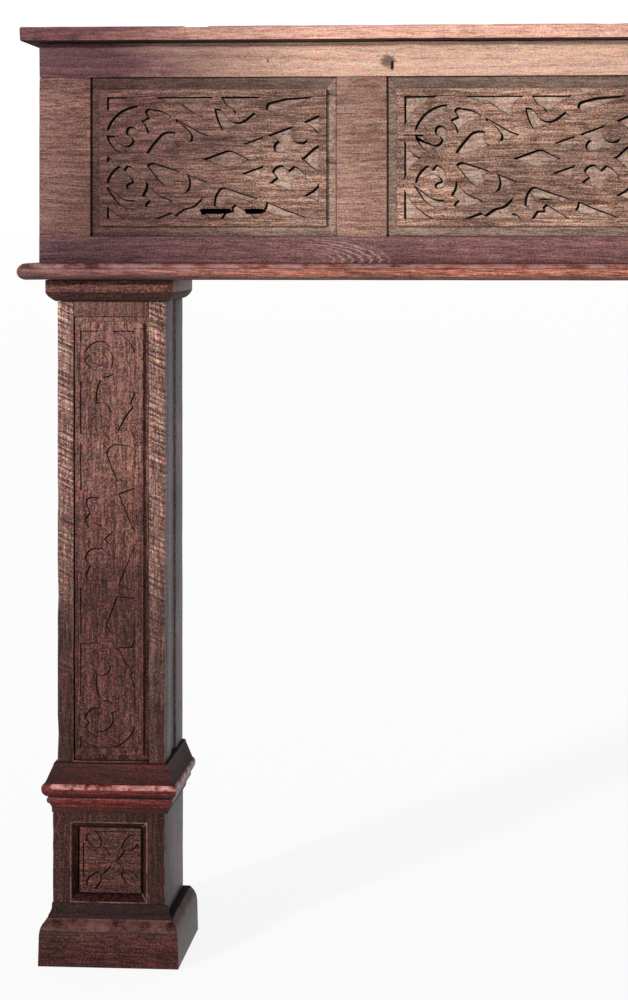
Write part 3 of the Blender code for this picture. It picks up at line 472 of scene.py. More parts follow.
def cadCopy(node):
    bm = bmesh.new()
    bm.from_mesh(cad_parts[node].data)
    bmesh.ops.remove_doubles(bm, verts=bm.verts, dist=0.00002)
    bmesh.ops.dissolve_limit(bm, angle_limit=math.radians(1), verts=bm.verts, edges=bm.edges)
    bm.normal_update()
    return bm


# Lets a board run a little into its neighbours, so that no light shows in the joints
def grown(bm, amounts):
    for axis, amount in enumerate(amounts):
        if amount:
            places = [vertex.co[axis] for vertex in bm.verts]
            low, high = min(places), max(places)
            for vertex in bm.verts:
                share = (vertex.co[axis] - low) / (high - low)
                vertex.co[axis] += amount * (2 * share - 1)


# The CAD piece with eased, slightly bruised arrises
def wornCopy(node, finish, slot, worn, axis=0, step=0.03, grow=(0, 0, 0), shaded=None, groove=None):
    bm = cadCopy(node)
    if groove:
        low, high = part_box(node)
        rims = [(k, side[k]) for k in (0, 2) for side in (low, high)]
        for vertex in bm.verts:
            onRim = any(abs(vertex.co[k] - level) < 1e-5 for k, level in rims)
            if onRim and low[1] + 0.001 < vertex.co.y < high[1] - 0.001:
                vertex.co.y = low[1] + groove
    faceLayer(bm, "wearAndSheen")
    layer = faceLayer(bm, "shadeAndDirt")
    grown(bm, grow)
    bm.normal_update()
    for face in bm.faces:
        if shaded:
            face[layer] = shaded(face)
    arris, bruise = worn
    easeEdges(bm, arris)
    crosscut(bm, axis, step)
    bruised(bm, bruise)
    return settle(node + "_worn", bm, finish, slot, node)


# Shelf and frieze frame
boardLook = {
    "shadeAndDirt": 0.93,              # painted shade on the shelf's underside
    "joint": 0.0004,           # how far a board runs into its neighbour
    "margins": {"left": 0.45, "right": 0.0, "foot": 0.30, "top": 0.55},   # painted shade on the panels' bevels: top, left and lower, none on the right
    "deep": 0.0065,            # below a panel's field, where the broken slots are painted black as shade
    "groove": 0.0030,          # how far a panel's edge lies below its field
    "back": 0.2,               # dirt on the panels' backs
    "worn": {                  # size of the arris, and of the bruises on it
        "shelf": (0.0018, 0.0007), "topRail": (0.0008, 0.0004), "footRail": (0.0007, 0.0003),
        "end": (0.0008, 0.0004), "stile": (0.0008, 0.0005), "panel": (0.0006, 0.0002)},
}


# Painted shade on faces that look down
def underside(face):
    return boardLook["shadeAndDirt"] if face.normal.z < -0.7 else 0.0


# Painted black shade on a board's front, where it shows through the carving's cuts
def shadedField(face):
    return 1.0 if face.normal.y < -0.9999 else 0.0


# Painted shade on a panel: black on its field under the carving and deep in the slots, and on its top, left
# and lower bevels; dirt on its back
def panelMargin(face):
    shadeAndGrime, dirtyBack = boardLook["margins"], boardLook["back"]
    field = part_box("frieze_left_panel")[0][1]
    if face.normal.y > 0.7:
        return dirtyBack
    if face.calc_center_median().y > field + boardLook["deep"] or face.normal.y < -0.999:
        return 1.0
    if abs(face.normal.x) > abs(face.normal.z):
        return shadeAndGrime["left"] if face.normal.x < 0 else shadeAndGrime["right"]
    return shadeAndGrime["foot"] if face.normal.z < 0 else shadeAndGrime["top"]


joint, worn = boardLook["joint"], boardLook["worn"]
wornCopy("shelf", "shelf", "shelf_wood", worn["shelf"], shaded=underside)
wornCopy("frieze_top_rail", "topRail", "frame_wood", worn["topRail"], grow=(0, 0, joint))
wornCopy("frieze_foot_rail", "footRail", "frame_wood", worn["footRail"], grow=(0, 0, joint))
for side in ("left", "right"):
    wornCopy(f"frieze_{side}_end", "stile", "frame_wood", worn["end"], axis=2)
    for stile in ("end", "inner"):
        wornCopy(f"frieze_{side}_{stile}_stile", "stile", "frame_wood", worn["stile"], axis=2,
                 grow=(0, 0, joint))
for name in ("left", "centre", "right"):
    wornCopy(f"frieze_{name}_panel", "panel", "panel_wood", worn["panel"], grow=(joint, 0, joint),
             shaded=panelMargin, groove=boardLook["groove"])
print("shelf and frieze frame made")


# Fretwork
# The drawing is in squares: u runs from the outer end to the long panel's middle, v upwards. A third
# number bows the side that starts there, as a share of its length, positive to the left.
fretPockets = {
    "upperCorner": [(0.3, 58.5), (34, 58.5, -0.1), (0.5, 29)],
    "upperCrescent": [
        (10.3, 24.5, 0.17), (43.5, 50.3), (40.5, 46), (40.3, 39.8, -0.08), (12.5, 25)],
    "upperScroll": [
        (0.4, 20.8), (0.4, 19.7), (10.8, 19.7, -0.1), (24, 3.3), (28, 7), (31.3, 3.6, -0.18),
        (42.3, 21.5, -0.21), (36, 29.8, -0.26), (30.5, 23, -0.16), (35, 19.3), (37, 16.4, 0.3),
        (26.5, 12.2, 0.1), (19.3, 18.8), (19.3, 20.6)],
    "heart": [(0.3, 18.2, -0.14), (16.7, -2.3, -0.09), (0.3, -25)],
    "lowerScroll": [
        (10.8, -26.5, 0.12), (23.8, -9), (28, -13.4), (31.5, -8.8, 0.2), (42, -22, 0.2),
        (35.5, -33, 0.26), (30.3, -29.5, 0.15), (34, -26), (36.8, -25, -0.16), (29, -18.5, -0.08),
        (12.6, -27)],
    "lowerCrescent": [
        (9.7, -29.3), (15, -32.2), (27.5, -41.6, -0.05), (39.9, -43.4), (39.5, -50), (42, -53.5),
        (37, -53), (31, -51.8, 0.06), (19.2, -43.4), (10.5, -31)],
    "lowerCorner": [(0.2, -33, -0.09), (30, -62), (0.2, -62)],
    "upperLeaf": [
        (45.6, 34.8), (52.7, 38.4), (49.6, 43.6, 0.27), (57.5, 46.4, 0.1), (77.3, 38.6, 0.04),
        (58.3, 30.3), (53, 21.3), (50, 30)],
    "lowerLeaf": [
        (51.2, -24, -0.06), (63.5, -38), (78.5, -44.3), (66, -50.3, 0.08), (52, -50.8, 0.27),
        (50, -46.6), (53.6, -43.4), (46.5, -39), (50.8, -31)],
    "upperTeardrop": [
        (50.8, 3), (57, 12), (65.8, 22, 0.12), (81, 23.2), (78.6, 17.5, -0.14), (85.8, 10.2, 0.03),
        (66, 3.2), (57.5, 0.4)],
    "lowerTeardrop": [
        (51.2, -8.8), (55.8, -5.6), (66, -8.5), (85.3, -15.2), (79.6, -18.8, -0.15), (81.5, -28.3),
        (76, -30.3), (69.5, -30), (61.5, -22)],
    "upperSpur": [
        (80.8, 37.3), (90.8, 31.8), (103.3, 24.6), (114.3, 20.4), (103.3, 16), (92.3, 13, -0.28),
        (93.8, 24, -0.08), (81, 33.8)],
    "lowerSpur": [(91, -17.3), (105.8, -22.9), (112.5, -25.4), (100, -31.7), (87.2, -38, -0.24)],
    "upperLong": [
        (59.5, 58.5), (118.8, 58.5), (114.8, 55.2), (107.8, 51.3), (106.9, 48), (107.8, 45),
        (106.8, 41.2), (108.6, 37.2), (93.8, 45), (85.8, 51.8), (80.4, 53.8), (78.8, 51)],
    "lowerLong": [
        (59, -62), (76, -55.5), (80, -58.1), (89.6, -51), (97.5, -50.2), (108.4, -40.4), (105, -52),
        (106, -56.3), (110.8, -56.8), (116.5, -62)],
    "upperHook": [
        (119.6, 46.7), (125.8, 46.9), (130.2, 42), (133, 37.6, -0.2), (151, 36.7), (159, 42.8),
        (163.5, 38.8), (145, 31), (127.5, 25.6, 0.06)],
    "lowerHook": [
        (119.2, -49, 0.12), (125.8, -30.8), (130, -30.6), (145, -35.9), (164, -42.2), (160.5, -43),
        (156.7, -47), (150.8, -43.4), (141, -41.6, -0.18), (129.6, -48.6), (125.5, -49.4),
        (122.5, -51.3)],
    "upperWing": [
        (125.8, 58.5), (167, 58.5), (156.7, 53.4), (140.3, 41.5), (137.4, 47.6), (131.7, 49.2)],
    "lowerWing": [
        (125.8, -62), (131, -54), (137.6, -53.6), (136.8, -50.5), (140.4, -47.3), (163.5, -62)],
    "upperBlade": [
        (171.3, 46, 0.22), (175.8, 53.2), (190, 56.6), (219, 58.3), (205, 52), (190, 46.6),
        (176.8, 42.4)],
    "lowerBlade": [
        (172, -44.8), (190, -52.4), (212.8, -60.8), (190, -60.6), (175, -57), (168.7, -53),
        (170.5, -50.4)],
    "upperWedge": [(148.5, 12.2), (169, 19.3), (166, 12), (168, 3.8)],
    "lowerWedge": [(146.5, -17.3), (169.5, -9.2), (166.4, -15), (167, -23.3)],
    "upperTrefoil": [
        (172.8, 20.6), (200.3, 30.3, -0.24), (198, 16.2, -0.14), (209.3, 14.2), (213.8, 17.2),
        (211, 11.5), (201, 4.4), (195, 7), (188.3, 3.3, 0.24), (178.6, 8.7, 0.13), (183.3, 15.2)],
    "lowerTrefoil": [
        (174.8, -26.5), (182, -21), (177.2, -15.5, 0.2), (188.5, -9.2), (193.5, -14.4),
        (199.2, -9.5, 0.12), (213, -24), (205.8, -20.9, -0.3), (198, -33), (200.5, -36),
        (190, -32.4)],
    "lozenge": [(107.8, -3), (134.5, 6.9), (155, -3.5), (132.5, -12.6)],
}
# Left halves of the pockets on the middle line, from the upper to the lower end
fretMiddle = {
    "upperBell": [(232.5, 43), (220, 38.6), (208.8, 33.4), (217, 29), (224, 20.5), (232.5, 19.5)],
    "star": [
        (232.5, 15), (219, 8.2), (208.8, -1.2), (206, -2.4), (208.8, -3.8), (219, -13.2),
        (232.5, -20)],
    "lowerBell": [
        (232.5, -24.5), (226, -25), (219.5, -33), (208.8, -39.4), (220, -43), (232.5, -49)],
}
# Joints between the border strips and the carved field, and cracks
fretJoints = [
    [(34.9, 58.75), (47, 58.8), (58.8, 58.75)], [(119.6, 58.75), (125.0, 58.8)],
    [(167.8, 58.75), (180, 58.9), (200, 59)], [(30.7, -62.3), (44, -62.4), (58.2, -62.3)],
    [(117.2, -62.3), (125.0, -62.4)], [(164.4, -62.3), (185, -62.5), (208, -62.5)],
    [(0.0, 28.2), (-0.1, 25), (0.0, 21.7)], [(0.0, -25.9), (-0.1, -29), (0.0, -32.2)],
]
centreCracks = [
    [(42.0, 11.5), (48, 11.8), (55.0, 11.4)], [(82.2, 23.1), (88, 23.4), (92.8, 22.9)],
    [(123.0, 61.5), (124.6, 60.2), (125.1, 59.2)], [(-6.4, 2.3), (-3, 2.4), (-0.4, 2.2)],
    [(132, -45.6), (128, -41.5), (124.5, -37)],
]
leftCracks = [
    [(215, 61), (228, 61.4), (241, 60.8)], [(226.5, 32.3), (229.5, 32.6), (232.4, 32.3)],
    [(225.8, -5.8), (232, -6.2), (241, -6)], [(110.4, 36.2), (115, 36.5), (120, 36)],
    [(41, -64), (70, -64.2), (120, -63.9), (170, -64.3), (225, -64)],
    [(180.2, 65.2), (181.0, 62.5), (182.6, 59.6)],
]
fretLook = {
    "length": 232.5, "top": 58.7, "foot": -62.2,   # the drawing's middle line, and its upper and lower end
    "crop": 11.5,              # squares cut off the outer end on the short panels
    "sliver": 8.0,             # pockets with less than this many squares are left out
    "border": 0.0107,
    "arris": 0.0005,
    "joint": 0.32,             # width of a joint or crack, in squares
    "inset": 0.0004,           # how far a carved board runs into its ground
    "rubbedAndLit": 0.6,             # wear and a painted highlight on the chamfers
    "rimShade": 0.95,
    "sharp": 22.0,
    "notch": 3.5,              # spacing of the nicks in the outer strip, in squares
    "relief": 0.0040,          # how far the pockets' grounds lie below the board's face
    "rim": 0.0013,             # width of the painted shade at the edge of those grounds
    "cut": 0.0019,             # width of the black cut along a pocket's upper and left sides: a painted shadow line
}
arcStep = 10.0


# Points along an arc between two corners, both ends left out
def arcPoints(start, end, bow):
    chord = math.dist(start, end)
    rise = abs(bow) * chord
    radius = (chord * chord / 4 + rise * rise) / (2 * rise)
    sweep = 4 * math.atan(2 * abs(bow))
    turn = math.copysign(1, bow)
    across = ((start[1] - end[1]) / chord * turn, (end[0] - start[0]) / chord * turn)
    centre = [(start[i] + end[i]) / 2 + across[i] * (rise - radius) for i in (0, 1)]
    first = math.atan2(start[1] - centre[1], start[0] - centre[0])
    pieces = max(2, round(math.degrees(sweep) / arcStep))
    return [(centre[0] + radius * math.cos(first - turn * sweep * k / pieces),
             centre[1] + radius * math.sin(first - turn * sweep * k / pieces)) for k in range(1, pieces)]


# The ring of a pocket as the knife left it: bowed sides drawn out and soft corners rounded
def cutOutline(corners):
    ring = []
    for here, after in zip(corners, corners[1:] + corners[:1]):
        ring.append(here[:2])
        if len(here) == 3:
            ring += arcPoints(here[:2], after[:2], here[2])
    for _ in range(2):
        softer = []
        for before, here, after in zip(ring[-1:] + ring[:-1], ring, ring[1:] + ring[:1]):
            came = Vector(here) - Vector(before)
            goes = Vector(after) - Vector(here)
            if 13 < math.degrees(came.angle(goes, 0.0)) < 52:
                reach = min(came.length, goes.length, 9.0) * 0.28
                softer += [tuple(Vector(here) - came.normalized() * reach),
                           tuple(Vector(here) + goes.normalized() * reach)]
            else:
                softer.append(here)
        ring = softer
    return ring


# A crack or joint as a very narrow pocket
def crackRing(points, width):
    upper, lower = [], []
    for k, (u, v) in enumerate(points[1:-1], 1):
        along = (Vector(points[k + 1]) - Vector(points[k - 1])).normalized() * width / 2
        upper.append((u - along.y, v + along.x))
        lower.append((u + along.y, v - along.x))
    if not upper:
        along = (Vector(points[1]) - Vector(points[0])).normalized() * width / 2
        middle = (Vector(points[0]) + Vector(points[1])) / 2
        upper = [(middle.x - along.y, middle.y + along.x)]
        lower = [(middle.x + along.y, middle.y - along.x)]
    return [tuple(points[0])] + upper + [tuple(points[-1])] + lower[::-1]


def mirrored(ring, across=0.0):
    return [(2 * across - u, v) for u, v in reversed(ring)]


def upended(ring):
    return [(u, -v) for u, v in reversed(ring)]


def ringArea(ring):
    return abs(sum(a[0] * b[1] - b[0] * a[1] for a, b in zip(ring, ring[1:] + ring[:1]))) / 2


def cropped(ring, limit, keepAbove):
    result = []
    for here, after in zip(ring, ring[1:] + ring[:1]):
        hereIn, afterIn = [(point[0] >= limit) == keepAbove for point in (here, after)]
        if hereIn:
            result.append(here)
        if hereIn != afterIn:
            share = (limit - here[0]) / (after[0] - here[0])
            result.append((limit, here[1] + share * (after[1] - here[1])))
    return result


# A board's outline in x and z, with small nicks in its two upright sides
def edgeRing(low, high, nicks=()):
    left, right, foot, top = low[0], high[0], low[2], high[2]
    shape = ((-1, 0), (-0.7, 1), (0.7, 1), (1, 0))   # along the edge, and how deep
    ring = [(left, foot), (right, foot)]
    for z, wide, deep in nicks:
        ring += [(right - deep * inward, z + wide * up) for up, inward in shape]
    ring += [(right, top), (left, top)]
    for z, wide, deep in reversed(nicks):
        ring += [(left + deep * inward, z - wide * up) for up, inward in shape]
    return ring


# A thin board with pockets cut through it, from outlines in x and z; its walls get painted shade and dirt
def piercedBoard(node, finish, slot, rings, arris, nicks=(), wall=0.9, holes=()):
    low, high = [Vector(corner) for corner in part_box(node)]
    back = high.y + fretLook["inset"]
    bm = bmesh.new()
    rubbedAndLit, shaded = faceLayer(bm, "wearAndSheen"), faceLayer(bm, "shadeAndDirt")
    for ring in [edgeRing(low, high, nicks)] + rings:
        corners = [bm.verts.new((x, back, z)) for x, z in ring]
        for here, after in zip(corners, corners[1:] + corners[:1]):
            bm.edges.new((here, after))
    bmesh.ops.triangle_fill(bm, edges=bm.edges[:], use_beauty=True, use_dissolve=False, normal=(0, -1, 0))
    top = pushed(bm, bm.faces[:], (0, low.y + arris - back, 0))
    bmesh.ops.recalc_face_normals(bm, faces=bm.faces)
    # Painted shade and dirt on the pockets' walls
    for face in bm.faces:
        face[shaded] = wall if abs(face.normal.y) < 0.5 else 0.0
    chamfer = bmesh.ops.inset_region(bm, faces=top, thickness=arris, depth=arris, use_boundary=True,
                                     use_even_offset=False)
    for face in chamfer["faces"]:
        face[rubbedAndLit] = fretLook["rubbedAndLit"]
        face[shaded] = 0.0
    for hole in holes:
        punched(bm, hole)
    return settle(node + "_carved", bm, finish, slot, node, sharp=fretLook["sharp"])


# The ground of each pocket, set off to the right and down, which leaves a black cut on the other sides, a
# painted shadow line; its rim gets painted shade
def groundPlates(node, finish, slot, rings, look, name, holes=()):
    low, high = [Vector(corner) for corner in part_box(node)]
    back = high.y + 0.0002
    bm = bmesh.new()
    faceLayer(bm, "wearAndSheen")
    layer = faceLayer(bm, "shadeAndDirt")
    for ring in rings:
        middle = sum((Vector(point) for point in ring), Vector((0, 0))) / len(ring)
        loose = look["cut"] * (1.0 + 0.45 * noise.noise((middle.x * 40, middle.y * 40, 3.3)))
        face = bm.faces.new([bm.verts.new((x + loose, back, z - loose)) for x, z in ring])
        tilt = 0.0004 * noise.noise((middle.x * 60, middle.y * 60, 7.7))
        top = pushed(bm, [face], (0, low.y + look["relief"] + tilt - back, 0))
        bmesh.ops.recalc_face_normals(bm, faces=top)
        band = bmesh.ops.inset_region(bm, faces=top, thickness=look["rim"], depth=0, use_boundary=True,
                                      use_even_offset=False)
        # Painted shade on each ground's rim
        for edge in band["faces"]:
            edge[layer] = fretLook["rimShade"]
    bmesh.ops.recalc_face_normals(bm, faces=bm.faces)
    for hole in holes:
        punched(bm, hole)
    return settle(name, bm, finish, slot, sharp=fretLook["sharp"])


# Opens a convex hole in the front of a board, down to the panel behind it, whose field is painted black as
# shade
def punched(bm, outline):
    middle = sum((Vector(point) for point in outline), Vector((0, 0))) / len(outline)
    sides = []
    for here, after in zip(outline, outline[1:] + outline[:1]):
        across = Vector((after[1] - here[1], here[0] - after[0])).normalized()
        if across.dot(middle - Vector(here)) > 0:
            across = -across
        sides.append((Vector(here), across))
        sliced(bm, (here[0], 0, here[1]), (across.x, 0, across.y))
    gone = []
    for face in bm.faces:
        centre = face.calc_center_median()
        if all(across.dot(Vector((centre.x, centre.z)) - corner) < 0 for corner, across in sides):
            gone.append(face)
    bmesh.ops.delete(bm, geom=gone, context="FACES")


slots = {
    "starts": ((-0.6505, 0.051), (-0.584, 0.034)),   # left end and length
    "foot": 1.1217,
    "height": 0.0085,
    # corners: share of the length, slot heights along, share of the height, and a lift
    "outline": ((0, 0, 0.7, 0), (0, 0.4, 0, 0.0004), (0.55, 0, 0, 0), (1, -1, 0, 0.0006), (1, 0, 0.4, 0),
                (1, -0.6, 0.94, 0), (0.45, 0, 1, 0), (0, 0.3, 0.95, 0)),
}


def fretwork():
    look = fretLook
    low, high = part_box("frieze_centre_fretwork")
    square = (high[0] - low[0] - 2 * look["border"]) / (2 * look["length"])
    up = (high[2] - low[2] - 2 * look["border"]) / (look["top"] - look["foot"])
    level = low[2] + look["border"] - look["foot"] * up

    def placed(rings, start, side=1, crop=0.0):
        return [[(start + side * (u - crop) * square, level + v * up) for u, v in ring] for ring in rings]

    half = [cutOutline(corners) for corners in fretPockets.values()]
    middle = []
    for corners in fretMiddle.values():
        left = cutOutline(corners)
        start = left.index(corners[0][:2])
        left = left[start:] + left[:start]
        middle.append(left + mirrored(left, look["length"])[1:-1])
    joints = [crackRing(points, look["joint"]) for points in fretJoints]
    cracks = [crackRing(points, look["joint"] * 1.2) for points in centreCracks]
    nicks = []
    for k in range(1, 34):
        v = look["foot"] + look["notch"] * k
        place = level + (v + 0.6 * noise.noise((v, 0.5, 0.2))) * up
        nicks.append((place, 0.0006, 0.0011 + 0.0008 * noise.noise((v, 2.5, 0.7))))
    whole = half + joints + middle + [mirrored(ring, look["length"]) for ring in half + joints]
    centreStart = -look["length"] * square
    piercedBoard("frieze_centre_fretwork", "fret", "fret_wood", placed(whole + cracks, centreStart),
                 look["arris"], nicks)
    grounds = half + middle + [mirrored(ring, look["length"]) for ring in half]
    groundPlates("frieze_centre_fretwork", "panel", "panel_wood", placed(grounds, centreStart), look,
                 "frieze_centre_grounds")

    for name, side in (("left", 1), ("right", -1)):
        node = f"frieze_{name}_fretwork"
        low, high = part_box(node)
        crop = look["crop"]
        shown = (high[0] - low[0] - 2 * look["border"]) / square
        pockets = [cropped(cropped(ring, crop, True), crop + shown, False) for ring in half + middle]
        pockets = [ring for ring in pockets if len(ring) > 2 and ringArea(ring) > look["sliver"]]
        grounds = list(pockets)
        for ring in joints:
            if min(u for u, v in ring) > crop and max(u for u, v in ring) < crop + shown:
                pockets.append(ring)
        holes = []
        if name == "left":
            pockets += [crackRing(points, look["joint"] * 1.2) for points in leftCracks]
            foot, tall = slots["foot"], slots["height"]
            for place, length in slots["starts"]:
                holes.append([(place + length * share + tall * along, foot + tall * rise + lift)
                              for share, along, rise, lift in slots["outline"]])
        start = low[0] + look["border"] if side > 0 else high[0] - look["border"]
        piercedBoard(node, "fret", "fret_wood", placed(pockets, start, side, crop), look["arris"],
                     holes=holes)
        groundPlates(node, "panel", "panel_wood", placed(grounds, start, side, crop), look,
                     f"frieze_{name}_grounds", holes)


fretwork()
print("fretwork made")


# Vines: u runs from the outer border across the shaft, v from the vine's middle up
vinePockets = {
    "corner": [(0.3, 208.7), (20.5, 208.7, -0.12), (0.3, 197.5)],
    "crescent": [(30, 208.7), (55.3, 208.7), (55.3, 185.5, -0.16)],
    "ring": [
        (37.2, 171.5, -0.12), (26.3, 197.5, -0.2), (5, 187.8), (9, 184.3), (4.4, 180.3, -0.25),
        (24, 170.5), (23, 174.5, 0.28), (12.5, 184, 0.3), (22.5, 192.5, 0.25), (31.5, 174)],
    "sliver": [(22, 161.5), (32.6, 165.2), (31, 162)],
    "leaf": [(20.5, 159.6, 0.09), (38.9, 135.5, 0.1), (29.7, 126.3, -0.35), (17, 135, 0.1)],
    "edge": [
        (55.3, 149.5), (50.4, 135.5), (52.7, 132.7), (44.6, 121.7), (37.7, 108.5), (51.5, 108),
        (55.3, 100.5)],
    "bank": [(0.3, 159.6), (9.6, 130.4, -0.25), (13.6, 120.6), (19.9, 104), (0.3, 105)],
    "lobe": [
        (26.3, 86, 0.15), (36, 95.4), (50.4, 93.6), (55, 89.6), (42.3, 76.5), (50.4, 66.6),
        (55.3, 59), (37.2, 57.6), (30.9, 73.5)],
    "tooth": [(0.3, 97), (2.7, 91.9), (1, 82), (10.2, 67.4), (3.9, 51.9), (0.3, 48)],
    "crook": [
        (19.4, 41.5), (11.3, 42.1, -0.2), (5.6, 36), (9.6, 26), (5.2, 21, -0.22), (15.9, 8.8),
        (24, 9.5), (22, 14.5, 0.25), (12, 22), (13.5, 27.5), (16, 37)],
    "long": [(38.9, 45.6), (44.6, 47.8), (55.3, 52), (55.3, 5.4)],
}
vineKite = [(24, 0), (33.1, 7.7), (36, 0), (33.1, -7.7)]
vineJoints = [
    [(21.2, 208.9), (25, 209), (29.3, 208.9)], [(18, 217.5), (18.3, 214), (18, 210)],
    [(45.5, 217.5), (45.2, 214), (45.5, 210)], [(55.5, 184.6), (55.6, 168), (55.5, 150.4)],
    [(-0.1, 196.6), (-0.2, 180), (-0.1, 160.6)], [(55.5, 99.6), (55.6, 95), (55.5, 60)],
]
vineLook = {
    "across": 55.5, "rise": 208.9,     # the drawing's inner and upper end
    "outerBorder": 0.0068, "innerBorder": 0.0127, "endBorder": 0.011,
    "joint": 0.45,
    "arris": 0.0005,
    # wall: painted shade and dirt on the pockets' walls
    "wall": 0.85,
    "relief": 0.0016,
    "cut": 0.0010,
    "rim": 0.0008,
}


def vine(leg, side):
    look = vineLook
    node = f"{leg}_vine"
    low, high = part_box(node)
    square = (high[0] - low[0] - look["outerBorder"] - look["innerBorder"]) / look["across"]
    up = ((high[2] - low[2]) / 2 - look["endBorder"]) / look["rise"]
    middle = (low[2] + high[2]) / 2
    start = low[0] + look["outerBorder"] if side < 0 else high[0] - look["outerBorder"]
    pockets = [cutOutline(vineKite)]
    for corners in vinePockets.values():
        pockets += [cutOutline(corners), upended(cutOutline(corners))]
    joints = []
    for points in vineJoints:
        joints += [crackRing(points, look["joint"]), upended(crackRing(points, look["joint"]))]
    pockets, joints = [[[(start - side * u * square, middle + v * up) for u, v in ring] for ring in rings]
                       for rings in (pockets, joints)]
    piercedBoard(node, "vine", "leg_carving_wood", pockets + joints, look["arris"], wall=look["wall"])
    groundPlates(node, "vine", "leg_carving_wood", pockets, look, f"{leg}_vine_grounds")


# Tile in each base block: a quarter of the rosette, drawn from its middle
tilePockets = {
    "gore": [
        (-17, 27.5), (17, 27.5, -0.12), (9.5, 17), (10.5, 13.5, -0.1), (0, 4.5, -0.1),
        (-10.5, 13.5), (-9.5, 17, -0.12)],
    "petal": [(11, 11, 0.1), (15, 20, 0.2), (24, 24, 0.2), (20, 15, 0.1)],
}
tileLook = {
    "rise": 31.0,              # squares from the tile's middle to its edge
    "arris": 0.0008,
    "wall": 0.45,
    "relief": 0.0022,
    "cut": 0.0012,
    "rim": 0.0006,
}


def tile(leg):
    look = tileLook
    node = f"{leg}_tile"
    low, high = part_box(node)
    middle = [(low[k] + high[k]) / 2 for k in (0, 2)]
    square = [(high[k] - low[k]) / 2 / look["rise"] for k in (0, 2)]
    rings = []
    for corners in tilePockets.values():
        ring = cutOutline(corners)
        for quarter in range(4):
            rings.append([(middle[0] + u * square[0], middle[1] + v * square[1]) for u, v in ring])
            ring = [(-v, u) for u, v in ring]
    piercedBoard(node, "tile", "leg_carving_wood", rings, look["arris"], wall=look["wall"])
    groundPlates(node, "tile", "leg_carving_wood", rings, look, f"{leg}_tile_grounds")


# Mouldings: each section gives how far it stands outside the shaft, and its level, in millimetres
waistSection = [
    (0.3, 300), (4.6, 299.2), (5.2, 296), (15.3, 272), (15.8, 271.4), (17.5, 270.6), (19.4, 268.3),
    (20.1, 266), (20.2, 263.4), (19.6, 259.5), (18.7, 257), (17.4, 255), (14.2, 251.8),
    (11.4, 250.9), (11.3, 250.3), (12.5, 249.4), (13.1, 247.6), (13.3, 245.5), (12.9, 243),
    (12, 241.5), (9.8, 239.8), (8.6, 237.6), (7.3, 234.6), (6.4, 232), (4.8, 226),
]
plinthSection = [
    (5.5, 90), (6.2, 85), (7.7, 80.6), (9.2, 76.8), (11, 74), (11.6, 71), (12, 69), (14.4, 66.4),
    (17.5, 63), (19.2, 60.8), (20.3, 58.5), (21.4, 56), (22.2, 53), (23.2, 46), (24.2, 1.0),
    (23.6, 0.0),
]
innerPlinthSection = [
    (1.2, 69.4), (11.6, 69.2), (12.6, 68.6), (14.4, 66.4), (17.5, 63), (19.2, 60.8), (20.3, 58.5),
    (21.4, 56), (22.2, 53), (23.2, 46), (24.2, 1.0), (23.6, 0.0),
]
legLook = {
    "half": 0.0815,            # half the shaft's width
    "centre": 0.7872,          # from the mantel's middle to a leg's
    "blockFaces": {"front": 4.3, "outer": 6.6, "inner": 1.0},
    "blockTop": 252.3,
    "rubbedAndLit": ((52, 69, 0.45), (262.5, 270.8, 1.0)),   # levels of the mouldings, and their wear
    # levels of the mouldings, and their painted highlight on the plinth's shoulder and the torus's top
    "shaded": ((69.2, 91, 0.62), (225, 236, 0.7), (249.4, 252.0, 0.95), (253, 258, 0.4), (271, 300, 0.62)),
    "worn": {                  # size of the arris, and of the bruises on it
        "stile": (0.0012, 0.0006), "side": (0.0010, 0.0005), "rail": (0.0006, 0.0003),
        "panel": (0.0004, 0.0002), "block": (0.0012, 0.0005), "ground": (0.0005, 0.0)},
    "groove": 0.0015,          # how far the shaft panel's edge lies below its field
}


# A moulding pushed along one face of the leg, then cut to its mitres
def mouldingRun(node, finish, section, corner, outward, along, length, mitres, wavy=0.0003):
    bm = bmesh.new()
    worn, layer = faceLayer(bm, "wearAndSheen"), faceLayer(bm, "shadeAndDirt")
    face = bm.faces.new([bm.verts.new(corner + outward * out / 1000 + Vector((0, 0, level / 1000)))
                         for out, level in section])
    pushed(bm, [face], along * length)
    for place, normal in mitres:
        cut = sliced(bm, place, normal, clear_outer=True)
        rim = [part for part in cut["geom_cut"] if isinstance(part, bmesh.types.BMEdge)]
        bmesh.ops.edgeloop_fill(bm, edges=rim)
    bmesh.ops.recalc_face_normals(bm, faces=bm.faces)
    for k in range(1, 9):
        sliced(bm, corner + along * length * k / 9, along)
    # Painted shade and painted highlight on the moulding, by level
    for face in bm.faces:
        level = face.calc_center_median().z * 1000
        for low, high, shadeAndGrime in legLook["shaded"]:
            if low < level < high:
                face[layer] = shadeAndGrime
        for low, high, wearAndSheen in legLook["rubbedAndLit"]:
            if low < level < high:
                face[worn] = max(face[worn], wearAndSheen)
    for vertex in bm.verts:
        if vertex.co.z > 0.002:
            vertex.co.z += noise.noise(vertex.co * 22) * wavy
            vertex.co -= outward * (noise.noise(vertex.co * 31 + Vector((5, 5, 5))) * 0.5 + 0.5) * wavy
    slot = "leg_wood" if "plinth" in node else "moulding_wood"
    return settle(node + "_shaped", bm, finish, slot, node, sharp=40.0)


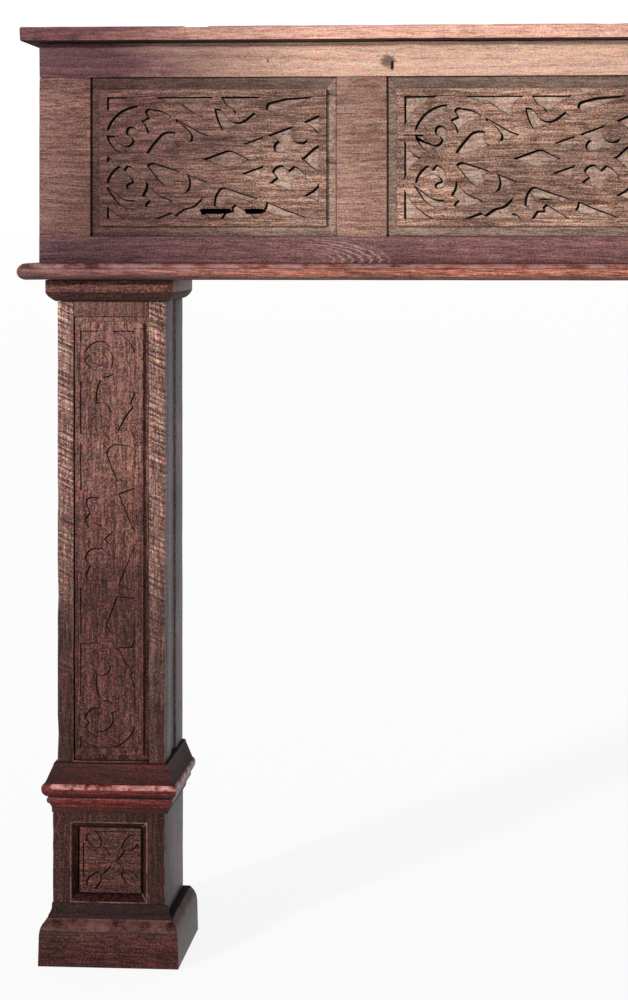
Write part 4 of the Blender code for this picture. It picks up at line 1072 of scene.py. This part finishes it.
# Front run and two returns, mitred at the shaft's corners
def mouldedRound(leg, side, part, finish, sections):
    centre, half = side * legLook["centre"], legLook["half"]
    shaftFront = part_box(f"{leg}_shaft_outer_stile")[0][1]
    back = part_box(f"{leg}_{part}_outer_return")[1][1]
    over = 0.03
    left, right = centre - half, centre + half
    leftCorner, rightCorner = Vector((left, shaftFront, 0)), Vector((right, shaftFront, 0))
    mouldingRun(f"{leg}_{part}_front", finish, sections["front"], Vector((left - over, shaftFront, 0)),
                Vector((0, -1, 0)), Vector((1, 0, 0)), 2 * (half + over),
                [(leftCorner, Vector((-1, 1, 0))), (rightCorner, Vector((1, 1, 0)))])
    for hand, corner in ((-1, leftCorner), (1, rightCorner)):
        place = "outer" if hand == side else "inner"
        mouldingRun(f"{leg}_{part}_{place}_return", finish, sections[place], corner + Vector((0, -over, 0)),
                    Vector((hand, 0, 0)), Vector((0, 1, 0)), back - shaftFront + over,
                    [(corner, Vector((-hand, -1, 0)))])


# The section held outside the block's face, with its flat back
def closedSection(section, face, levelled=None):
    back = legLook["blockFaces"][face]
    shown = [(max(out, back + 0.3) if level < legLook["blockTop"] else out, level) for out, level in section]
    if levelled is None:
        return [(back, shown[-1][1])] + [(back, shown[0][1])] + shown
    return [(back, shown[-1][1]), (back, levelled), (0.3, levelled)] + shown


capitalLook = {
    "bevel": 0.0135,
    "segments": 5,
    "profile": 0.38,
    "arris": 0.0014,
    "bruise": 0.0006,
    "shadeAndDirt": 0.68,
}


# A slab whose lower edges are rounded off, with painted shade on the faces that look down
def capital(leg):
    look = capitalLook
    node = f"{leg}_capital"
    bm, low, high, worn, shaded = slab(node)
    lower = [edge for edge in bm.edges if all(vertex.co.z < low.z + 1e-5 for vertex in edge.verts)
             and not all(vertex.co.y > high.y - 1e-5 for vertex in edge.verts)]
    bmesh.ops.bevel(bm, geom=lower, offset=look["bevel"], offset_type="OFFSET", segments=look["segments"],
                    profile=look["profile"], affect="EDGES", material=-1)
    bm.normal_update()
    # Painted shade on the faces that look down
    for face in bm.faces:
        face[shaded] = look["shadeAndDirt"] if face.normal.z < -0.35 else 0.0
    easeEdges(bm, look["arris"], 40.0)
    crosscut(bm, 0, 0.02)
    bruised(bm, look["bruise"])
    settle(node + "_shaped", bm, "moulding", "moulding_wood", node)


nosingLook = {
    "line": 0.0172,            # level and depth of the line scratched along it
    "lineDepth": 0.0007,
    "wavy": 0.0006,
    "shadeAndDirt": ((-0.85, 0.85), (-0.5, 0.6), (-0.3, 0.25)),   # how far a face looks down, and its painted shade
    "highlightSlope": 0.45,           # a face that looks up further than this gets a painted highlight
}


# The soffit board: a half-round edge with a scratched line above its middle; painted shade below, a painted
# highlight on top
def nosing():
    look = nosingLook
    node = "soffit_board"
    bm, low, high, worn, shaded = slab(node)
    rim = [edge for edge in bm.edges if abs(edge.verts[0].co.z - edge.verts[1].co.z) < 1e-6
           and not all(vertex.co.y > high.y - 1e-5 for vertex in edge.verts)]
    bmesh.ops.bevel(bm, geom=rim, offset=(high.z - low.z) / 2 - 0.0002, offset_type="OFFSET", segments=11,
                    profile=0.5, affect="EDGES", material=-1)
    for offset in (-0.0005, 0.0, 0.0005):
        sliced(bm, (0, 0, low.z + look["line"] + offset), (0, 0, 1))
    bm.normal_update()
    for vertex in bm.verts:
        if abs(vertex.co.z - low.z - look["line"]) < 1e-5 and vertex.co.y < high.y - 0.001:
            vertex.co -= Vector((vertex.normal.x, vertex.normal.y, 0)) * look["lineDepth"]
    crosscut(bm, 0, 0.045)
    bm.normal_update()
    for vertex in bm.verts:
        if vertex.co.y < high.y - 0.01 and abs(vertex.co.x) < high.x - 0.015:
            vertex.co -= vertex.normal * (noise.noise(vertex.co * 14) * 0.5 + 0.5) * look["wavy"]
    # Painted shade on faces that look down, painted highlight on faces that look up
    for face in bm.faces:
        face[shaded] = next((shadeAndGrime for slope, shadeAndGrime in look["shadeAndDirt"] if face.normal.z < slope), 0.0)
        face[worn] = 1.0 if face.normal.z > look["highlightSlope"] else 0.0
    settle(node + "_rounded", bm, "nosing", "moulding_wood", node, sharp=50.0)


nosing()


worn = legLook["worn"]
for leg, side in (("left", -1), ("right", 1)):
    for stile in ("outer", "inner"):
        wornCopy(f"{leg}_shaft_{stile}_stile", "sawnStile", "leg_wood", worn["stile"], axis=2)
        wornCopy(f"{leg}_shaft_{stile}_side", "legSide", "leg_wood", worn["side"], axis=2)
        wornCopy(f"{leg}_block_{stile}_side", "legSide", "leg_wood", worn["side"], axis=2)
    for rail in ("top", "foot"):
        wornCopy(f"{leg}_shaft_{rail}_rail", "leg", "leg_wood", worn["rail"], grow=(joint, 0, 0))
    wornCopy(f"{leg}_shaft_panel", "vine", "leg_wood", worn["panel"], axis=2, grow=(joint, 0, joint),
             shaded=shadedField, groove=legLook["groove"])
    wornCopy(f"{leg}_block_front", "block", "leg_wood", worn["block"], axis=2, step=0.015)
    wornCopy(f"{leg}_tile_ground", "tile", "leg_wood", worn["ground"], shaded=shadedField)
    vine(leg, side)
    tile(leg)
    capital(leg)
    faces = ("front", "outer", "inner")
    waist = {face: closedSection(waistSection, face, legLook["blockTop"]) for face in faces}
    mouldedRound(leg, side, "waist_moulding", "waist", waist)
    plinth = {face: closedSection(innerPlinthSection if face == "inner" else plinthSection, face)
              for face in faces}
    mouldedRound(leg, side, "plinth", "plinth", plinth)
print("legs made")


# Camera, floor and light
view = {
    "location": (-0.1427, -3.4750, 1.0982),
    "turn": 4.178,             # degrees to the left
    "focal": 2.304,            # focal length as a share of the picture's height
    "shift": (-0.06, -0.27),
}
camera = bpy.data.cameras.new("camera")
camera.sensor_width = 36
camera.lens = 36 * view["focal"]
camera.shift_x, camera.shift_y = view["shift"]
cameraObject = bpy.data.objects.new("camera", camera)
cameraObject.location = view["location"]
cameraObject.rotation_euler = (math.pi / 2, 0, math.radians(view["turn"]))
scene.collection.objects.link(cameraObject)
scene.camera = cameraObject

stageLook = {"floor": (0.12, 0.12, 0.12, 1), "floorGlow": 0.88, "world": 0.30, "backdrop": 1.05,
             "floorSize": 400, "floorDrop": 0.0005}
bm = bmesh.new()
bmesh.ops.create_grid(bm, x_segments=1, y_segments=1, size=stageLook["floorSize"])
floorMesh = bpy.data.meshes.new("floor")
bm.to_mesh(floorMesh)
bm.free()
paleFloor = bpy.data.materials.new("paleFloor")
paleFloor.use_nodes = True
floorShader = paleFloor.node_tree.nodes["Principled BSDF"].inputs
floorShader["Base Color"].default_value = stageLook["floor"]
floorShader["Roughness"].default_value = 0.9
floorShader["Emission Color"].default_value = (1, 1, 1, 1)
floorShader["Emission Strength"].default_value = stageLook["floorGlow"]
floorMesh.materials.append(paleFloor)
floor = bpy.data.objects.new("floor", floorMesh)
floor.location = (0, 0, -stageLook["floorDrop"])
scene.collection.objects.link(floor)

sun = {"from": (-1.8, -3.0, 1.0), "strength": 3.1, "softness": 6.0, "colour": (1.0, 0.97, 0.94)}
lamp = bpy.data.lights.new("key", "SUN")
lamp.energy = sun["strength"]
lamp.angle = math.radians(sun["softness"])
lamp.color = sun["colour"]
lampObject = bpy.data.objects.new("key", lamp)
lampObject.location = sun["from"]
lampObject.rotation_euler = (-Vector(sun["from"])).to_track_quat("-Z", "Y").to_euler()
scene.collection.objects.link(lampObject)

world = bpy.data.worlds.new("studio")
scene.world = world
world.use_nodes = True
sky = world.node_tree
seen = makeNode(sky, "ShaderNodeLightPath").outputs["Is Camera Ray"]
background = sky.nodes["Background"]
background.inputs[0].default_value = (1, 1, 1, 1)
sky.links.new(remap(sky, seen, 0.0, 1.0, stageLook["world"], stageLook["backdrop"]), background.inputs[1])
scene.view_settings.view_transform = "Standard"
print("stage set")
